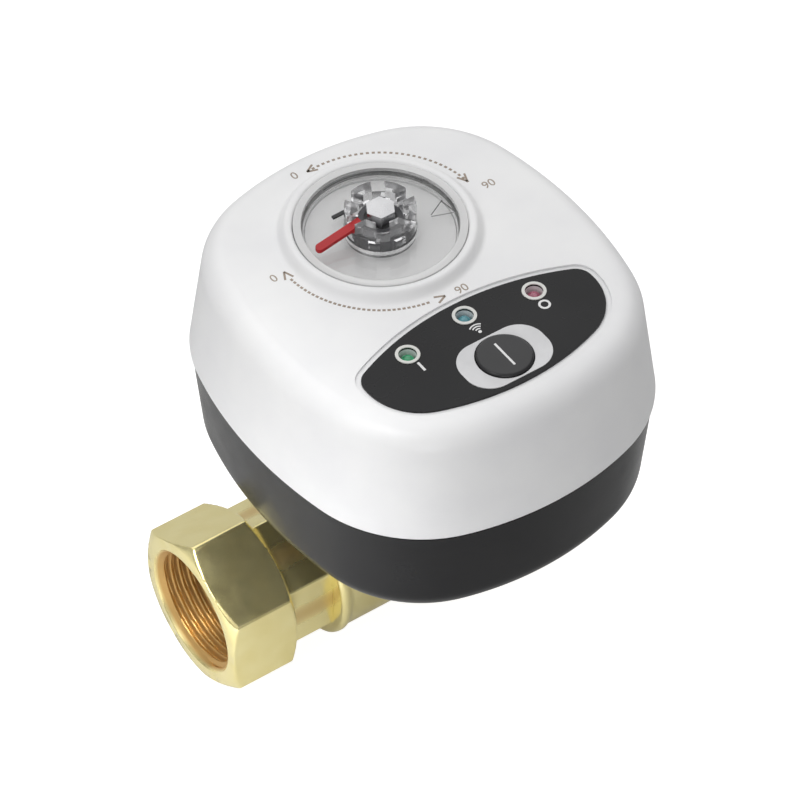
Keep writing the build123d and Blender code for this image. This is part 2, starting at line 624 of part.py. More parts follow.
with BuildPart() as upper_cover:
    add(housing_block(PARTING_Z, cover_inset(PARTING_Z), TOP_Z, cover_inset(TOP_Z)))
    fillet(upper_cover.edges().group_by(Axis.Z)[-1], TOP_ROUND)
    add(housing_block(PARTING_Z - OVERRUN, cover_inset(PARTING_Z - OVERRUN) + WALL,
                      CEILING_Z, cover_inset(CEILING_Z) + WALL), mode=Mode.SUBTRACT)
    add(dial_ring.part)
    add(ring(PLATE_LEDGE_R, DIAL_SEAT_R, DIAL_SEAT_Z, CEILING_Z))
    add(turned([(0, DIAL_SEAT_Z - OVERRUN), (PLATE_LEDGE_R, DIAL_SEAT_Z - OVERRUN),
                (PLATE_LEDGE_R, PLATE_LEDGE_Z), (LEDGE_R, PLATE_LEDGE_Z), (LEDGE_R, LEDGE_Z),
                (DIAL_R, LEDGE_Z), (DIAL_R, BEZEL_TOP + OVERRUN), (0, BEZEL_TOP + OVERRUN)]),
        mode=Mode.SUBTRACT)
    add(discs(BOSSES, COVER_BOSS_R, PARTING_Z + SEAM_GAP, CEILING_Z))
    add(discs(BOARD_POSTS, BOARD_POST_R, BOARD_TOP, CEILING_Z))
    add(discs(BOSSES, SCREW_R + SEAT_GAP, PARTING_Z, SCREW_TIP), mode=Mode.SUBTRACT)
    add(discs(BOARD_POSTS, BOARD_SCREW_R + SEAT_GAP, BOARD_Z, BOARD_SCREW_TIP), mode=Mode.SUBTRACT)
    with BuildSketch(Plane.XY.offset(PARTING_Z - OVERRUN)):
        add(housing_outline(0, SHELL_STEP + RIM_GROOVE_INSET - SEAT_GAP))
        add(housing_outline(0, SHELL_STEP + RIM_GROOVE_INSET + GASKET_WIDTH + SEAT_GAP), mode=Mode.SUBTRACT)
    extrude(amount=GASKET_HIGH + OVERRUN, mode=Mode.SUBTRACT)
    add(half_moon(RECESS_Z, PANEL_MARGIN))
    extrude(amount=RECESS_DEPTH + OVERRUN, mode=Mode.SUBTRACT)
    add(discs(LAMPS, LAMP_HOLE_R, CEILING_Z - OVERRUN, TOP_Z), mode=Mode.SUBTRACT)
    add(discs([BUTTON], BUTTON_R + BUTTON_GAP, CEILING_Z - OVERRUN, TOP_Z), mode=Mode.SUBTRACT)
save(upper_cover, "upper_cover")

with BuildPart() as perimeter_gasket:
    with BuildSketch(Plane.XY.offset(SHELL_TOP - GASKET_LOW)):
        add(housing_outline(0, SHELL_STEP + RIM_GROOVE_INSET))
        add(housing_outline(0, SHELL_STEP + RIM_GROOVE_INSET + GASKET_WIDTH), mode=Mode.SUBTRACT)
    extrude(amount=GASKET_TOP - SHELL_TOP + GASKET_LOW)
save(perimeter_gasket, "perimeter_gasket")

DRIVE_DEPTH = 0.8
DRIVE_R = 1.2

with BuildPart() as cover_screws:
    add(discs(BOSSES, SCREW_HEAD_R, HEAD_SEAT_Z - SCREW_HEAD_HEIGHT, HEAD_SEAT_Z))
    add(discs(BOSSES, SCREW_R, HEAD_SEAT_Z, SCREW_TIP))
    add(discs(BOSSES, DRIVE_R, BASE_Z, HEAD_SEAT_Z - SCREW_HEAD_HEIGHT + DRIVE_DEPTH), mode=Mode.SUBTRACT)
save(cover_screws, "cover_screws")

# Power inlet: a round low-voltage socket in a flat pocket of the shell's back wall
INLET_FLANGE_R = 5.9
INLET_FLANGE_THICKNESS = 1.4
INLET_SEAL_THICKNESS = 0.5
INLET_BODY_WIDTH = 9.0
INLET_BODY_HEIGHT = 11.0
INLET_BODY_DEPTH = 9.0
INLET_BODY_GAP = 0.9
SOCKET_R = 2.9
SOCKET_DEPTH = 9.5
PIN_R = 1.05
PIN_SETBACK = 1.2
INLET_FACE_Y = POCKET_Y + INLET_SEAL_THICKNESS + INLET_FLANGE_THICKNESS
INLET_FRONT_Y = REAR_INNER_Y - INLET_BODY_GAP
INLET_BACK_Y = INLET_FRONT_Y - INLET_BODY_DEPTH

with BuildPart() as inlet_seal:
    with BuildSketch(rearward(POCKET_Y)):
        Circle(INLET_FLANGE_R)
        Circle(INLET_BARREL_R, mode=Mode.SUBTRACT)
    extrude(amount=INLET_SEAL_THICKNESS)
save(inlet_seal, "inlet_seal")

with BuildPart() as power_inlet:
    with BuildSketch(rearward(POCKET_Y + INLET_SEAL_THICKNESS)):
        Circle(INLET_FLANGE_R)
    extrude(amount=INLET_FLANGE_THICKNESS)
    with BuildSketch(rearward(INLET_FRONT_Y)):
        Circle(INLET_BARREL_R)
    extrude(amount=INLET_FACE_Y - INLET_FRONT_Y)
    with BuildSketch(rearward(INLET_BACK_Y)):
        Rectangle(INLET_BODY_WIDTH, INLET_BODY_HEIGHT)
    extrude(amount=INLET_BODY_DEPTH)
    with BuildSketch(rearward(INLET_FACE_Y - SOCKET_DEPTH)):
        Circle(SOCKET_R)
    extrude(amount=SOCKET_DEPTH + OVERRUN, mode=Mode.SUBTRACT)
    with BuildSketch(rearward(INLET_FACE_Y - SOCKET_DEPTH)):
        Circle(PIN_R)
    extrude(amount=SOCKET_DEPTH - PIN_SETBACK)
save(power_inlet, "power_inlet")

# Gears: involute teeth, in mesh at rest
FLANK_STEPS = 4


def gear_outline(teeth, place, height, tooth_angle):
    """A spur gear's plan, with the middle of one tooth at an angle in degrees."""
    pitch_r = MODULE * teeth / 2
    base_r = pitch_r * cos(radians(PRESSURE_ANGLE))
    tip_r, root_r = pitch_r + ADDENDUM, pitch_r - DEDENDUM
    start_r = max(base_r, root_r)

    def involute(radius):
        angle = acos(min(base_r / radius, 1))
        return tan(angle) - angle

    half_tooth = pi / (2 * teeth) - BACKLASH / (4 * pitch_r) + involute(pitch_r)
    flank = [(root_r, half_tooth - involute(start_r))]
    for step in range(FLANK_STEPS + 1):
        radius = start_r + (tip_r - start_r) * step / FLANK_STEPS
        if radius > root_r:
            flank.append((radius, half_tooth - involute(radius)))
    points = []
    for tooth in range(teeth):
        middle = radians(tooth_angle) + 2 * pi * tooth / teeth
        for radius, half in flank:
            points.append((radius * cos(middle - half), radius * sin(middle - half)))
        for radius, half in reversed(flank):
            points.append((radius * cos(middle + half), radius * sin(middle + half)))
    with BuildSketch(level(height, place)) as outline:
        with BuildLine():
            Polyline(*points, close=True)
        make_face()
    return outline.sketch


def gear_disc(teeth, place, low, width, tooth_angle):
    """A plain toothed disc."""
    with BuildPart() as disc:
        add(gear_outline(teeth, place, low, tooth_angle))
        extrude(amount=width)
    return disc.part


AXLE_R = 1.5
SLEEVE_R = 6.5
BUSH_WALL = 1.44
BUSH_LIP = 2.0
BUSH_FLANGE_THICKNESS = 0.7
WEB_DEPTH = 1.4
WEB_IN_R = 9.6
WEB_OUT_R = 17.4
MAGNET_R = 1.3
MAGNET_HEIGHT = 2.0
MAGNET_PLACE_R = 13.6
MAGNET_ANGLE = 225.0
BUSH_R = SLEEVE_R + RUNNING_GAP + BUSH_WALL
BUSH_FLANGE_R = BUSH_R + BUSH_LIP
MAGNET_PLACE = (STEM_X + MAGNET_PLACE_R * cos(radians(MAGNET_ANGLE)),
                MAGNET_PLACE_R * sin(radians(MAGNET_ANGLE)))

with BuildPart() as output_gear:
    add(gear_disc(OUTPUT_TEETH, (STEM_X, 0), GEAR_Z, GEAR_WIDTH, -QUARTER_TURN))
    add(ring(WEB_IN_R, WEB_OUT_R, GEAR_TOP - WEB_DEPTH, GEAR_TOP + OVERRUN), mode=Mode.SUBTRACT)
    add(discs([(STEM_X, 0)], SLEEVE_R + RUNNING_GAP, GEAR_Z - OVERRUN, GEAR_TOP + OVERRUN),
        mode=Mode.SUBTRACT)
    add(discs([MAGNET_PLACE], MAGNET_R, GEAR_Z - OVERRUN, GEAR_Z + MAGNET_HEIGHT), mode=Mode.SUBTRACT)
save(output_gear, "output_gear")

with BuildPart() as position_magnet:
    add(discs([MAGNET_PLACE], MAGNET_R, GEAR_Z, GEAR_Z + MAGNET_HEIGHT))
save(position_magnet, "position_magnet")

HUB_R = 3.4
HUB_RISE = 0.5
HUB_DROP = 1.0
PINION_Z = PLATE_TOP + LOOSE_GAP + HUB_DROP

with BuildPart() as intermediate_gear:
    add(gear_disc(PINION_TEETH, WHEEL_AXIS, PINION_Z, WHEEL_Z - PINION_Z,
                  QUARTER_TURN + HALF_TURN / PINION_TEETH))
    add(gear_disc(WHEEL_TEETH, WHEEL_AXIS, WHEEL_Z, WHEEL_WIDTH, MOTOR_ANGLE))
    add(discs([WHEEL_AXIS], HUB_R, PLATE_TOP + LOOSE_GAP, PINION_Z))
    add(discs([WHEEL_AXIS], HUB_R, WHEEL_TOP, WHEEL_TOP + HUB_RISE))
    add(discs([WHEEL_AXIS], AXLE_R + RUNNING_GAP, PLATE_TOP, LID_TOP), mode=Mode.SUBTRACT)
save(intermediate_gear, "intermediate_gear")

with BuildPart() as intermediate_axle:
    add(discs([WHEEL_AXIS], AXLE_R, PLATE_Z, LID_TOP))
save(intermediate_axle, "intermediate_axle")

# Motor: a geared can hung under the plate by two screws, with its pinion above
CAN_R = 9.0
CAP_R = 6.0
CAP_HEIGHT = 0.7
MOTOR_BOSS_R = 3.0
MOTOR_BOSS_HEIGHT = 1.2
SHAFT_R = 1.0
SHAFT_DEPTH = 5.5
MOTOR_SCREW_R = 1.0
MOTOR_SCREW_HEAD_R = 1.9
MOTOR_SCREW_HEAD_HEIGHT = 1.2
MOTOR_SCREW_DEPTH = 3.0
MOTOR_SCREW_PLACE_R = 5.8
SHAFT_Z = PLATE_Z - SHAFT_DEPTH
MOTOR_SCREWS = [(MOTOR_AXIS[0] + side * MOTOR_SCREW_PLACE_R, MOTOR_AXIS[1]) for side in (-1, 1)]
MOTOR_PINION_Z = WHEEL_Z - LOOSE_GAP
MOTOR_PINION_TOP = WHEEL_TOP + LOOSE_GAP

with BuildPart() as gear_motor:
    add(discs([MOTOR_AXIS], CAN_R, CAN_LOW_Z, PLATE_Z))
    add(discs([MOTOR_AXIS], CAP_R, CAN_LOW_Z - CAP_HEIGHT, CAN_LOW_Z))
    add(discs([MOTOR_AXIS], MOTOR_BOSS_R, PLATE_Z, PLATE_Z + MOTOR_BOSS_HEIGHT))
    add(discs([MOTOR_AXIS], SHAFT_R + RUNNING_GAP, SHAFT_Z - LOOSE_GAP, PLATE_Z + MOTOR_BOSS_HEIGHT),
        mode=Mode.SUBTRACT)
    add(discs(MOTOR_SCREWS, MOTOR_SCREW_R, PLATE_Z - MOTOR_SCREW_DEPTH, PLATE_Z), mode=Mode.SUBTRACT)
save(gear_motor, "gear_motor")

with BuildPart() as motor_screws:
    add(discs(MOTOR_SCREWS, MOTOR_SCREW_R, PLATE_Z - MOTOR_SCREW_DEPTH, PLATE_TOP))
    add(discs(MOTOR_SCREWS, MOTOR_SCREW_HEAD_R, PLATE_TOP, PLATE_TOP + MOTOR_SCREW_HEAD_HEIGHT))
save(motor_screws, "motor_screws")

with BuildPart() as motor_pinion:
    add(gear_disc(MOTOR_TEETH, MOTOR_AXIS, MOTOR_PINION_Z, MOTOR_PINION_TOP - MOTOR_PINION_Z,
                  MOTOR_ANGLE + HALF_TURN + HALF_TURN / MOTOR_TEETH))
    add(discs([MOTOR_AXIS], SHAFT_R, SHAFT_Z, MOTOR_PINION_Z))
save(motor_pinion, "motor_pinion")

# Gearbox plates and the screws that hold both to the shell's posts
PLATE_CORNER_R = 6.0
GEARBOX_HEAD_R = 2.2
GEARBOX_HEAD_HEIGHT = 1.4
TOP_SHAFT_R = 4.0


def gearbox_plate(low, thickness):
    """One plate of the gearbox, with holes for the screws and the axle."""
    with BuildPart() as plate:
        with BuildSketch(level(low, (STEM_X, (PLATE_LOW_Y + PLATE_HIGH_Y) / 2))):
            RectangleRounded(2 * PLATE_HALF_WIDTH, PLATE_HIGH_Y - PLATE_LOW_Y, PLATE_CORNER_R)
        extrude(amount=thickness)
        add(discs([WHEEL_AXIS], AXLE_R, low - OVERRUN, low + thickness + OVERRUN), mode=Mode.SUBTRACT)
        add(discs(POSTS, GEARBOX_SCREW_R + SEAT_GAP, low - OVERRUN, low + thickness + OVERRUN),
            mode=Mode.SUBTRACT)
    return plate.part


with BuildPart() as gearbox_base:
    add(gearbox_plate(PLATE_Z, PLATE_THICKNESS))
    add(discs(POSTS, POST_R, PLATE_TOP, LID_Z))
    add(discs(POSTS, GEARBOX_SCREW_R + SEAT_GAP, PLATE_Z, LID_Z), mode=Mode.SUBTRACT)
    add(discs([(STEM_X, 0)], BUSH_R, PLATE_Z - OVERRUN, PLATE_TOP + OVERRUN), mode=Mode.SUBTRACT)
    add(discs([MOTOR_AXIS], MOTOR_BOSS_R + SEAT_GAP, PLATE_Z - OVERRUN, PLATE_TOP + OVERRUN),
        mode=Mode.SUBTRACT)
    add(discs(MOTOR_SCREWS, MOTOR_SCREW_R + SEAT_GAP, PLATE_Z - OVERRUN, PLATE_TOP + OVERRUN),
        mode=Mode.SUBTRACT)
save(gearbox_base, "gearbox_base")

with BuildPart() as gearbox_lid:
    add(gearbox_plate(LID_Z, LID_THICKNESS))
    add(discs([(STEM_X, 0)], TOP_SHAFT_R + RUNNING_GAP, LID_Z - OVERRUN, LID_TOP + OVERRUN),
        mode=Mode.SUBTRACT)
save(gearbox_lid, "gearbox_lid")

with BuildPart() as gearbox_screws:
    add(discs(POSTS, GEARBOX_SCREW_R, GEARBOX_SCREW_Z, LID_TOP))
    add(discs(POSTS, GEARBOX_HEAD_R, LID_TOP, LID_TOP + GEARBOX_HEAD_HEIGHT))
save(gearbox_screws, "gearbox_screws")

with BuildPart() as spindle_bush:
    add(turned([(SLEEVE_R + RUNNING_GAP, PLATE_Z), (BUSH_R, PLATE_Z), (BUSH_R, PLATE_TOP),
                (BUSH_FLANGE_R, PLATE_TOP), (BUSH_FLANGE_R, PLATE_TOP + BUSH_FLANGE_THICKNESS),
                (SLEEVE_R + RUNNING_GAP, PLATE_TOP + BUSH_FLANGE_THICKNESS)]))
save(spindle_bush, "spindle_bush")

# Sensor board: an arc on the plate, with a magnetic sensor at each end of the quarter turn
SENSOR_IN_R = 11.0
SENSOR_OUT_R = 15.4
SENSOR_THICKNESS = 0.8
SENSOR_CHIP = 1.8
CHIP_INSET_ANGLE = 5
SENSOR_CHIP_HEIGHT = 0.6
SENSOR_TOP = PLATE_TOP + SENSOR_THICKNESS

with BuildPart() as sensor_board:
    with BuildSketch(level(PLATE_TOP)):
        Circle(SENSOR_OUT_R)
        Circle(SENSOR_IN_R, mode=Mode.SUBTRACT)
        with BuildLine():
            Polyline((0, 0), (-SENSOR_OUT_R, SENSOR_OUT_R), (-2 * SENSOR_OUT_R, 0),
                     (-SENSOR_OUT_R, -SENSOR_OUT_R), close=True)
        make_face(mode=Mode.INTERSECT)
    extrude(amount=SENSOR_THICKNESS)
    with BuildSketch(level(SENSOR_TOP)):
        with PolarLocations(MAGNET_PLACE_R, 2, start_angle=MAGNET_ANGLE - QUARTER_TURN + CHIP_INSET_ANGLE,
                            angular_range=QUARTER_TURN - 2 * CHIP_INSET_ANGLE, endpoint=True):
            Rectangle(SENSOR_CHIP, SENSOR_CHIP)
    extrude(amount=SENSOR_CHIP_HEIGHT)
save(sensor_board, "sensor_board")

# Drive spindle with its friction clutch: the gear turns it, and the knob can slip it by hand
KNOB_HEIGHT = 4.4
SPINDLE_SINK = 0.3
SHOULDER_RISE = 1.4
RETAINER_DROP = 1.1
KNOB_TOP = BEZEL_TOP + KNOB_HEIGHT
SPINDLE_Z = SQUARE_Z + THRUST_GAP
SOCKET_TOP = SQUARE_TOP + 2 * LOOSE_GAP
COLLAR_Z = PLATE_TOP + BUSH_FLANGE_THICKNESS + THRUST_GAP
SPINDLE_COLLAR_R = 9.0
CLUTCH_R = 5.0
CLUTCH_FLATS = 8.6
CLUTCH_Z = GEAR_TOP + FACE_GAP
CLUTCH_TOP = LID_Z - FACE_GAP
RETAINER_Z = CLUTCH_TOP - RETAINER_DROP
RETAINER_THICKNESS = 0.7
RETAINER_R = 7.5
RETAINER_GROOVE_R = 4.25
RETAINER_SLOT_WIDTH = 7.5
SPINDLE_SHOULDER_Z = PLATE_LEDGE_Z + SHOULDER_RISE
SPINDLE_TOP = KNOB_TOP - SPINDLE_SINK
SPINDLE_HEX = 5.2
DISC_R = 9.0
DISC_THICKNESS = 1.0
SPRING_IN_R = 5.2
SPRING_OUT_R = 8.2
SPRING_METAL = 0.5
DISC_TOP = CLUTCH_Z + DISC_THICKNESS
SPRING_HEIGHT = (RETAINER_Z - DISC_TOP) / 2

with BuildPart() as drive_spindle:
    add(turned([(0, SPINDLE_Z), (SLEEVE_R, SPINDLE_Z), (SLEEVE_R, COLLAR_Z), (SPINDLE_COLLAR_R, COLLAR_Z),
                (SPINDLE_COLLAR_R, GEAR_Z - FACE_GAP), (SLEEVE_R, GEAR_Z - FACE_GAP),
                (SLEEVE_R, CLUTCH_Z), (CLUTCH_R, CLUTCH_Z), (CLUTCH_R, RETAINER_Z),
                (RETAINER_GROOVE_R, RETAINER_Z), (RETAINER_GROOVE_R, RETAINER_Z + RETAINER_THICKNESS),
                (CLUTCH_R, RETAINER_Z + RETAINER_THICKNESS), (CLUTCH_R, CLUTCH_TOP),
                (TOP_SHAFT_R, CLUTCH_TOP),
                (TOP_SHAFT_R, SPINDLE_SHOULDER_Z), (0, SPINDLE_SHOULDER_Z)]))
    with BuildSketch(level(SPINDLE_SHOULDER_Z)):
        RegularPolygon(SPINDLE_HEX / 2, side_count=6, major_radius=False)
    extrude(amount=SPINDLE_TOP - SPINDLE_SHOULDER_Z)
    with BuildSketch(level(SPINDLE_Z)):
        Rectangle(SQUARE_WIDTH + 2 * SEAT_GAP, SQUARE_WIDTH + 2 * SEAT_GAP)
    extrude(amount=SOCKET_TOP - SPINDLE_Z, mode=Mode.SUBTRACT)
    with BuildSketch(level(CLUTCH_Z)):
        Circle(SLEEVE_R)
        Rectangle(2 * SLEEVE_R, CLUTCH_FLATS, mode=Mode.SUBTRACT)
    extrude(amount=RETAINER_Z - CLUTCH_Z, mode=Mode.SUBTRACT)
save(drive_spindle, "drive_spindle")

with BuildSketch(level(CLUTCH_Z)) as keyed_hole:
    Circle(CLUTCH_R + SEAT_GAP)
    Rectangle(2 * SLEEVE_R, CLUTCH_FLATS + 2 * SEAT_GAP, mode=Mode.INTERSECT)

with BuildPart() as clutch_disc:
    with BuildSketch(level(CLUTCH_Z)):
        Circle(DISC_R)
    extrude(amount=DISC_THICKNESS)
    extrude(keyed_hole.sketch, amount=DISC_THICKNESS, mode=Mode.SUBTRACT)
save(clutch_disc, "clutch_disc")

with BuildPart() as clutch_springs:
    middle_z = DISC_TOP + SPRING_HEIGHT
    add(turned([(SPRING_OUT_R, DISC_TOP), (SPRING_OUT_R, DISC_TOP + SPRING_METAL),
                (SPRING_IN_R, middle_z), (SPRING_IN_R, middle_z - SPRING_METAL)]))
    add(turned([(SPRING_IN_R, middle_z), (SPRING_IN_R, middle_z + SPRING_METAL),
                (SPRING_OUT_R, RETAINER_Z), (SPRING_OUT_R, RETAINER_Z - SPRING_METAL)]))
save(clutch_springs, "clutch_springs")

with BuildPart() as retaining_ring:
    with BuildSketch(level(RETAINER_Z)):
        Circle(RETAINER_R)
        Circle(RETAINER_GROOVE_R, mode=Mode.SUBTRACT)
        with Locations((RETAINER_R, 0)):
            Rectangle(RETAINER_R, RETAINER_SLOT_WIDTH, mode=Mode.SUBTRACT)
    extrude(amount=RETAINER_THICKNESS)
save(retaining_ring, "retaining_ring")

# Control board, hung from the cover's posts, with its lamps, switch and radio
BOARD_SIDE = 3.0
BOARD_CORNER_R = 3.0
BOARD_HEAD_R = 1.9
BOARD_HEAD_HEIGHT = 1.3
LED_R = 1.5
LED_DROP = 0.2
SWITCH_SIZE = 6.0
SWITCH_HEIGHT = 1.8
PLUNGER_R = 1.7
SWITCH_FLOOR = 0.2
PLUNGER_CUSHION = 0.4
RADIO_SIZE = (16.0, 10.0, 2.4)
RADIO_X = -4.5
RADIO_SETBACK = 6.0
CONNECTOR_SIZE = (8.0, 5.0, 3.4)
CONNECTOR_X = 11.0
CONNECTOR_SETBACK = 7.0
BOARD_HALF_WIDTH = BOARD_POST_X + BOARD_SIDE
LED_TOP = RECESS_Z - LED_DROP
RADIO_PLACE = (STEM_X + RADIO_X, BOARD_FRONT_Y + RADIO_SETBACK)
CONNECTOR_PLACE = (STEM_X + CONNECTOR_X, BOARD_FRONT_Y + CONNECTOR_SETBACK)

with BuildPart() as control_board:
    with BuildSketch(level(BOARD_Z, (STEM_X, (BOARD_FRONT_Y + BOARD_REAR_Y) / 2))):
        RectangleRounded(2 * BOARD_HALF_WIDTH, BOARD_REAR_Y - BOARD_FRONT_Y, BOARD_CORNER_R)
    extrude(amount=BOARD_THICKNESS)
    add(discs(BOARD_POSTS, BOARD_SCREW_R + SEAT_GAP, BOARD_Z - OVERRUN, BOARD_TOP + OVERRUN),
        mode=Mode.SUBTRACT)
save(control_board, "control_board")

with BuildPart() as board_screws:
    add(discs(BOARD_POSTS, BOARD_HEAD_R, BOARD_Z - BOARD_HEAD_HEIGHT, BOARD_Z))
    add(discs(BOARD_POSTS, BOARD_SCREW_R, BOARD_Z, BOARD_SCREW_TIP))
save(board_screws, "board_screws")


def board_box(size, place, top):
    """A component under the board, by its length, width and height."""
    with BuildPart() as component:
        with BuildSketch(level(top - size[2], place)):
            Rectangle(size[0], size[1])
        extrude(amount=size[2])
    return component


save(board_box(RADIO_SIZE, RADIO_PLACE, BOARD_Z), "radio_module")
save(board_box(CONNECTOR_SIZE, CONNECTOR_PLACE, BOARD_Z), "board_connector")

for lamp_name, lamp_place in zip(("green", "blue", "red"), LAMPS):
    with BuildPart() as status_led:
        add(discs([lamp_place], LED_R, BOARD_TOP, LED_TOP - LED_R))
        with Locations((lamp_place[0], lamp_place[1], LED_TOP - LED_R)):
            Sphere(LED_R)
    save(status_led, f"status_led_{lamp_name}")

SWITCH_TOP = BOARD_TOP + SWITCH_HEIGHT
FLANGE_TOP = CEILING_Z - THRUST_GAP
BUTTON_LIP = 1.2
BUTTON_FLANGE = 0.8
BUTTON_TOP = TOP_Z + BUTTON_TRAVEL
BUTTON_EDGE = 0.6
BUTTON_FOOT_R = 2.0
BUTTON_FOOT_HEIGHT = 0.2
BUTTON_FLANGE_R = BUTTON_R + BUTTON_LIP
BUTTON_FLANGE_Z = FLANGE_TOP - BUTTON_FLANGE
PLUNGER_TOP = BUTTON_FLANGE_Z - BUTTON_FOOT_HEIGHT

with BuildPart() as tact_switch:
    with BuildSketch(level(BOARD_TOP, BUTTON)):
        Rectangle(SWITCH_SIZE, SWITCH_SIZE)
    extrude(amount=SWITCH_HEIGHT)
    add(discs([BUTTON], PLUNGER_R + RUNNING_GAP, BOARD_TOP + SWITCH_FLOOR, SWITCH_TOP), mode=Mode.SUBTRACT)
save(tact_switch, "tact_switch")

with BuildPart() as switch_plunger:
    add(discs([BUTTON], PLUNGER_R, BOARD_TOP + SWITCH_FLOOR + BUTTON_TRAVEL + PLUNGER_CUSHION, PLUNGER_TOP))
save(switch_plunger, "switch_plunger")

with BuildPart() as power_button:
    add(discs([BUTTON], BUTTON_FOOT_R, PLUNGER_TOP, BUTTON_FLANGE_Z))
    add(discs([BUTTON], BUTTON_FLANGE_R, BUTTON_FLANGE_Z, FLANGE_TOP))
    add(discs([BUTTON], BUTTON_R, FLANGE_TOP, BUTTON_TOP))
    fillet(power_button.edges().group_by(Axis.Z)[-1], BUTTON_EDGE)
save(power_button, "power_button")

# Panel: the black half-moon in its recess, the silver oval round the button, the lamp rings
PANEL_THICKNESS = 0.4
OVAL_END = 3.8
OVAL_SIDE = 0.6
OVAL_CORNER_STEP = 0.2
OVAL_THICKNESS = 0.55
LAMP_RING_R = 2.35
LAMP_RING_RISE = 0.2
OVAL_LENGTH = 2 * (BUTTON_R + OVAL_END)
OVAL_WIDTH = 2 * (BUTTON_R + OVAL_SIDE)
OVAL_CORNER_R = BUTTON_R - OVAL_CORNER_STEP
PANEL_TOP_Z = RECESS_Z + PANEL_THICKNESS

with BuildPart() as panel_overlay:
    add(half_moon(RECESS_Z, 0))
    extrude(amount=PANEL_THICKNESS)
    add(discs(LAMPS, LAMP_HOLE_R, RECESS_Z - OVERRUN, TOP_Z), mode=Mode.SUBTRACT)
    with BuildSketch(level(RECESS_Z, BUTTON)):
        RectangleRounded(OVAL_LENGTH + 2 * SEAT_GAP, OVAL_WIDTH + 2 * SEAT_GAP, OVAL_CORNER_R + SEAT_GAP)
    extrude(amount=PANEL_THICKNESS, mode=Mode.SUBTRACT)
save(panel_overlay, "panel_overlay")

with BuildPart() as button_bezel:
    with BuildSketch(level(RECESS_Z, BUTTON)):
        RectangleRounded(OVAL_LENGTH, OVAL_WIDTH, OVAL_CORNER_R)
        Circle(BUTTON_R + BUTTON_GAP, mode=Mode.SUBTRACT)
    extrude(amount=OVAL_THICKNESS)
save(button_bezel, "button_bezel")

with BuildPart() as led_bezels:
    add(discs(LAMPS, LAMP_RING_R, PANEL_TOP_Z, PANEL_TOP_Z + LAMP_RING_RISE))
    add(discs(LAMPS, LAMP_HOLE_R, PANEL_TOP_Z, PANEL_TOP_Z + LAMP_RING_RISE), mode=Mode.SUBTRACT)
save(led_bezels, "led_bezels")

# Dial: floor plate, seal, clear window, and the clear knob with its red pointer
DIAL_PLATE_THICKNESS = 0.7
DIAL_PLATE_GAP = 0.2
DIAL_HOLE_GAP = 0.6
WINDOW_FLOOR_DROP = 0.8
WINDOW_RIM_DROP = 0.1
WINDOW_RIM_WIDTH = 1.7
WINDOW_GAP = 0.15
KNOB_R = 6.9
KNOB_WALL = 2.5
KNOB_POCKET_DEPTH = 3.3
NOTCH_COUNT = 6
NOTCH_WIDTH = 2.6
NOTCH_DEPTH = 2.7
FLUTE_COUNT = 8
FLUTE_WIDTH = 2.2
FLUTE_DEPTH = 1.2
FLUTE_HEIGHT = 1.4
POINTER_WIDTH = 1.8
POINTER_THICKNESS = 0.8
POINTER_ROOT_STEP = 0.2
POINTER_TIP_GAP = 0.5
POINTER_ROOT_DROP = 1.1
POINTER_TIP_DROP = 3.1
POINTER_TIP_ROUND = 0.8
DIAL_HOLE_R = TOP_SHAFT_R + DIAL_HOLE_GAP
WINDOW_BOTTOM = LEDGE_Z + GASKET_THICKNESS
WINDOW_RIM_R = DIAL_R - WINDOW_RIM_WIDTH
KNOB_POCKET_R = KNOB_R - KNOB_WALL
KNOB_POCKET_Z = KNOB_TOP - KNOB_POCKET_DEPTH
NOTCH_Z = KNOB_TOP - NOTCH_DEPTH
FLUTE_TOP = KNOB_POCKET_Z
FLUTE_Z = FLUTE_TOP - FLUTE_HEIGHT
POINTER_ROOT_R = KNOB_POCKET_R + POINTER_ROOT_STEP
POINTER_TIP_R = WINDOW_RIM_R - POINTER_TIP_GAP
POINTER_ROOT_Z = KNOB_TOP - POINTER_ROOT_DROP
POINTER_TIP_Z = KNOB_TOP - POINTER_TIP_DROP
WINDOW_FLOOR = BEZEL_TOP - WINDOW_FLOOR_DROP
DIAL_PLATE_TOP = PLATE_LEDGE_Z + DIAL_PLATE_THICKNESS
KNOB_Z = DIAL_PLATE_TOP + LOOSE_GAP
POINTER_SLOPE = (POINTER_ROOT_Z - POINTER_TIP_Z) / (POINTER_TIP_R - POINTER_ROOT_R)
POINTER_NECK_Z = POINTER_ROOT_Z - POINTER_SLOPE * (KNOB_R - POINTER_ROOT_R) - POINTER_THICKNESS

with BuildPart() as dial_plate:
    add(ring(DIAL_HOLE_R, LEDGE_R - DIAL_PLATE_GAP, PLATE_LEDGE_Z, DIAL_PLATE_TOP))
save(dial_plate, "dial_plate")

with BuildPart() as window_gasket:
    add(ring(LEDGE_R + DIAL_PLATE_GAP, DIAL_R - DIAL_PLATE_GAP, LEDGE_Z, WINDOW_BOTTOM))
save(window_gasket, "window_gasket")

with BuildPart() as dial_window:
    add(turned([(KNOB_R + WINDOW_GAP, WINDOW_BOTTOM), (DIAL_R - WINDOW_GAP, WINDOW_BOTTOM),
                (DIAL_R - WINDOW_GAP, BEZEL_TOP - WINDOW_RIM_DROP),
                (WINDOW_RIM_R, BEZEL_TOP - WINDOW_RIM_DROP),
                (WINDOW_RIM_R, WINDOW_FLOOR), (KNOB_R + WINDOW_GAP, WINDOW_FLOOR)]))
save(dial_window, "dial_window")

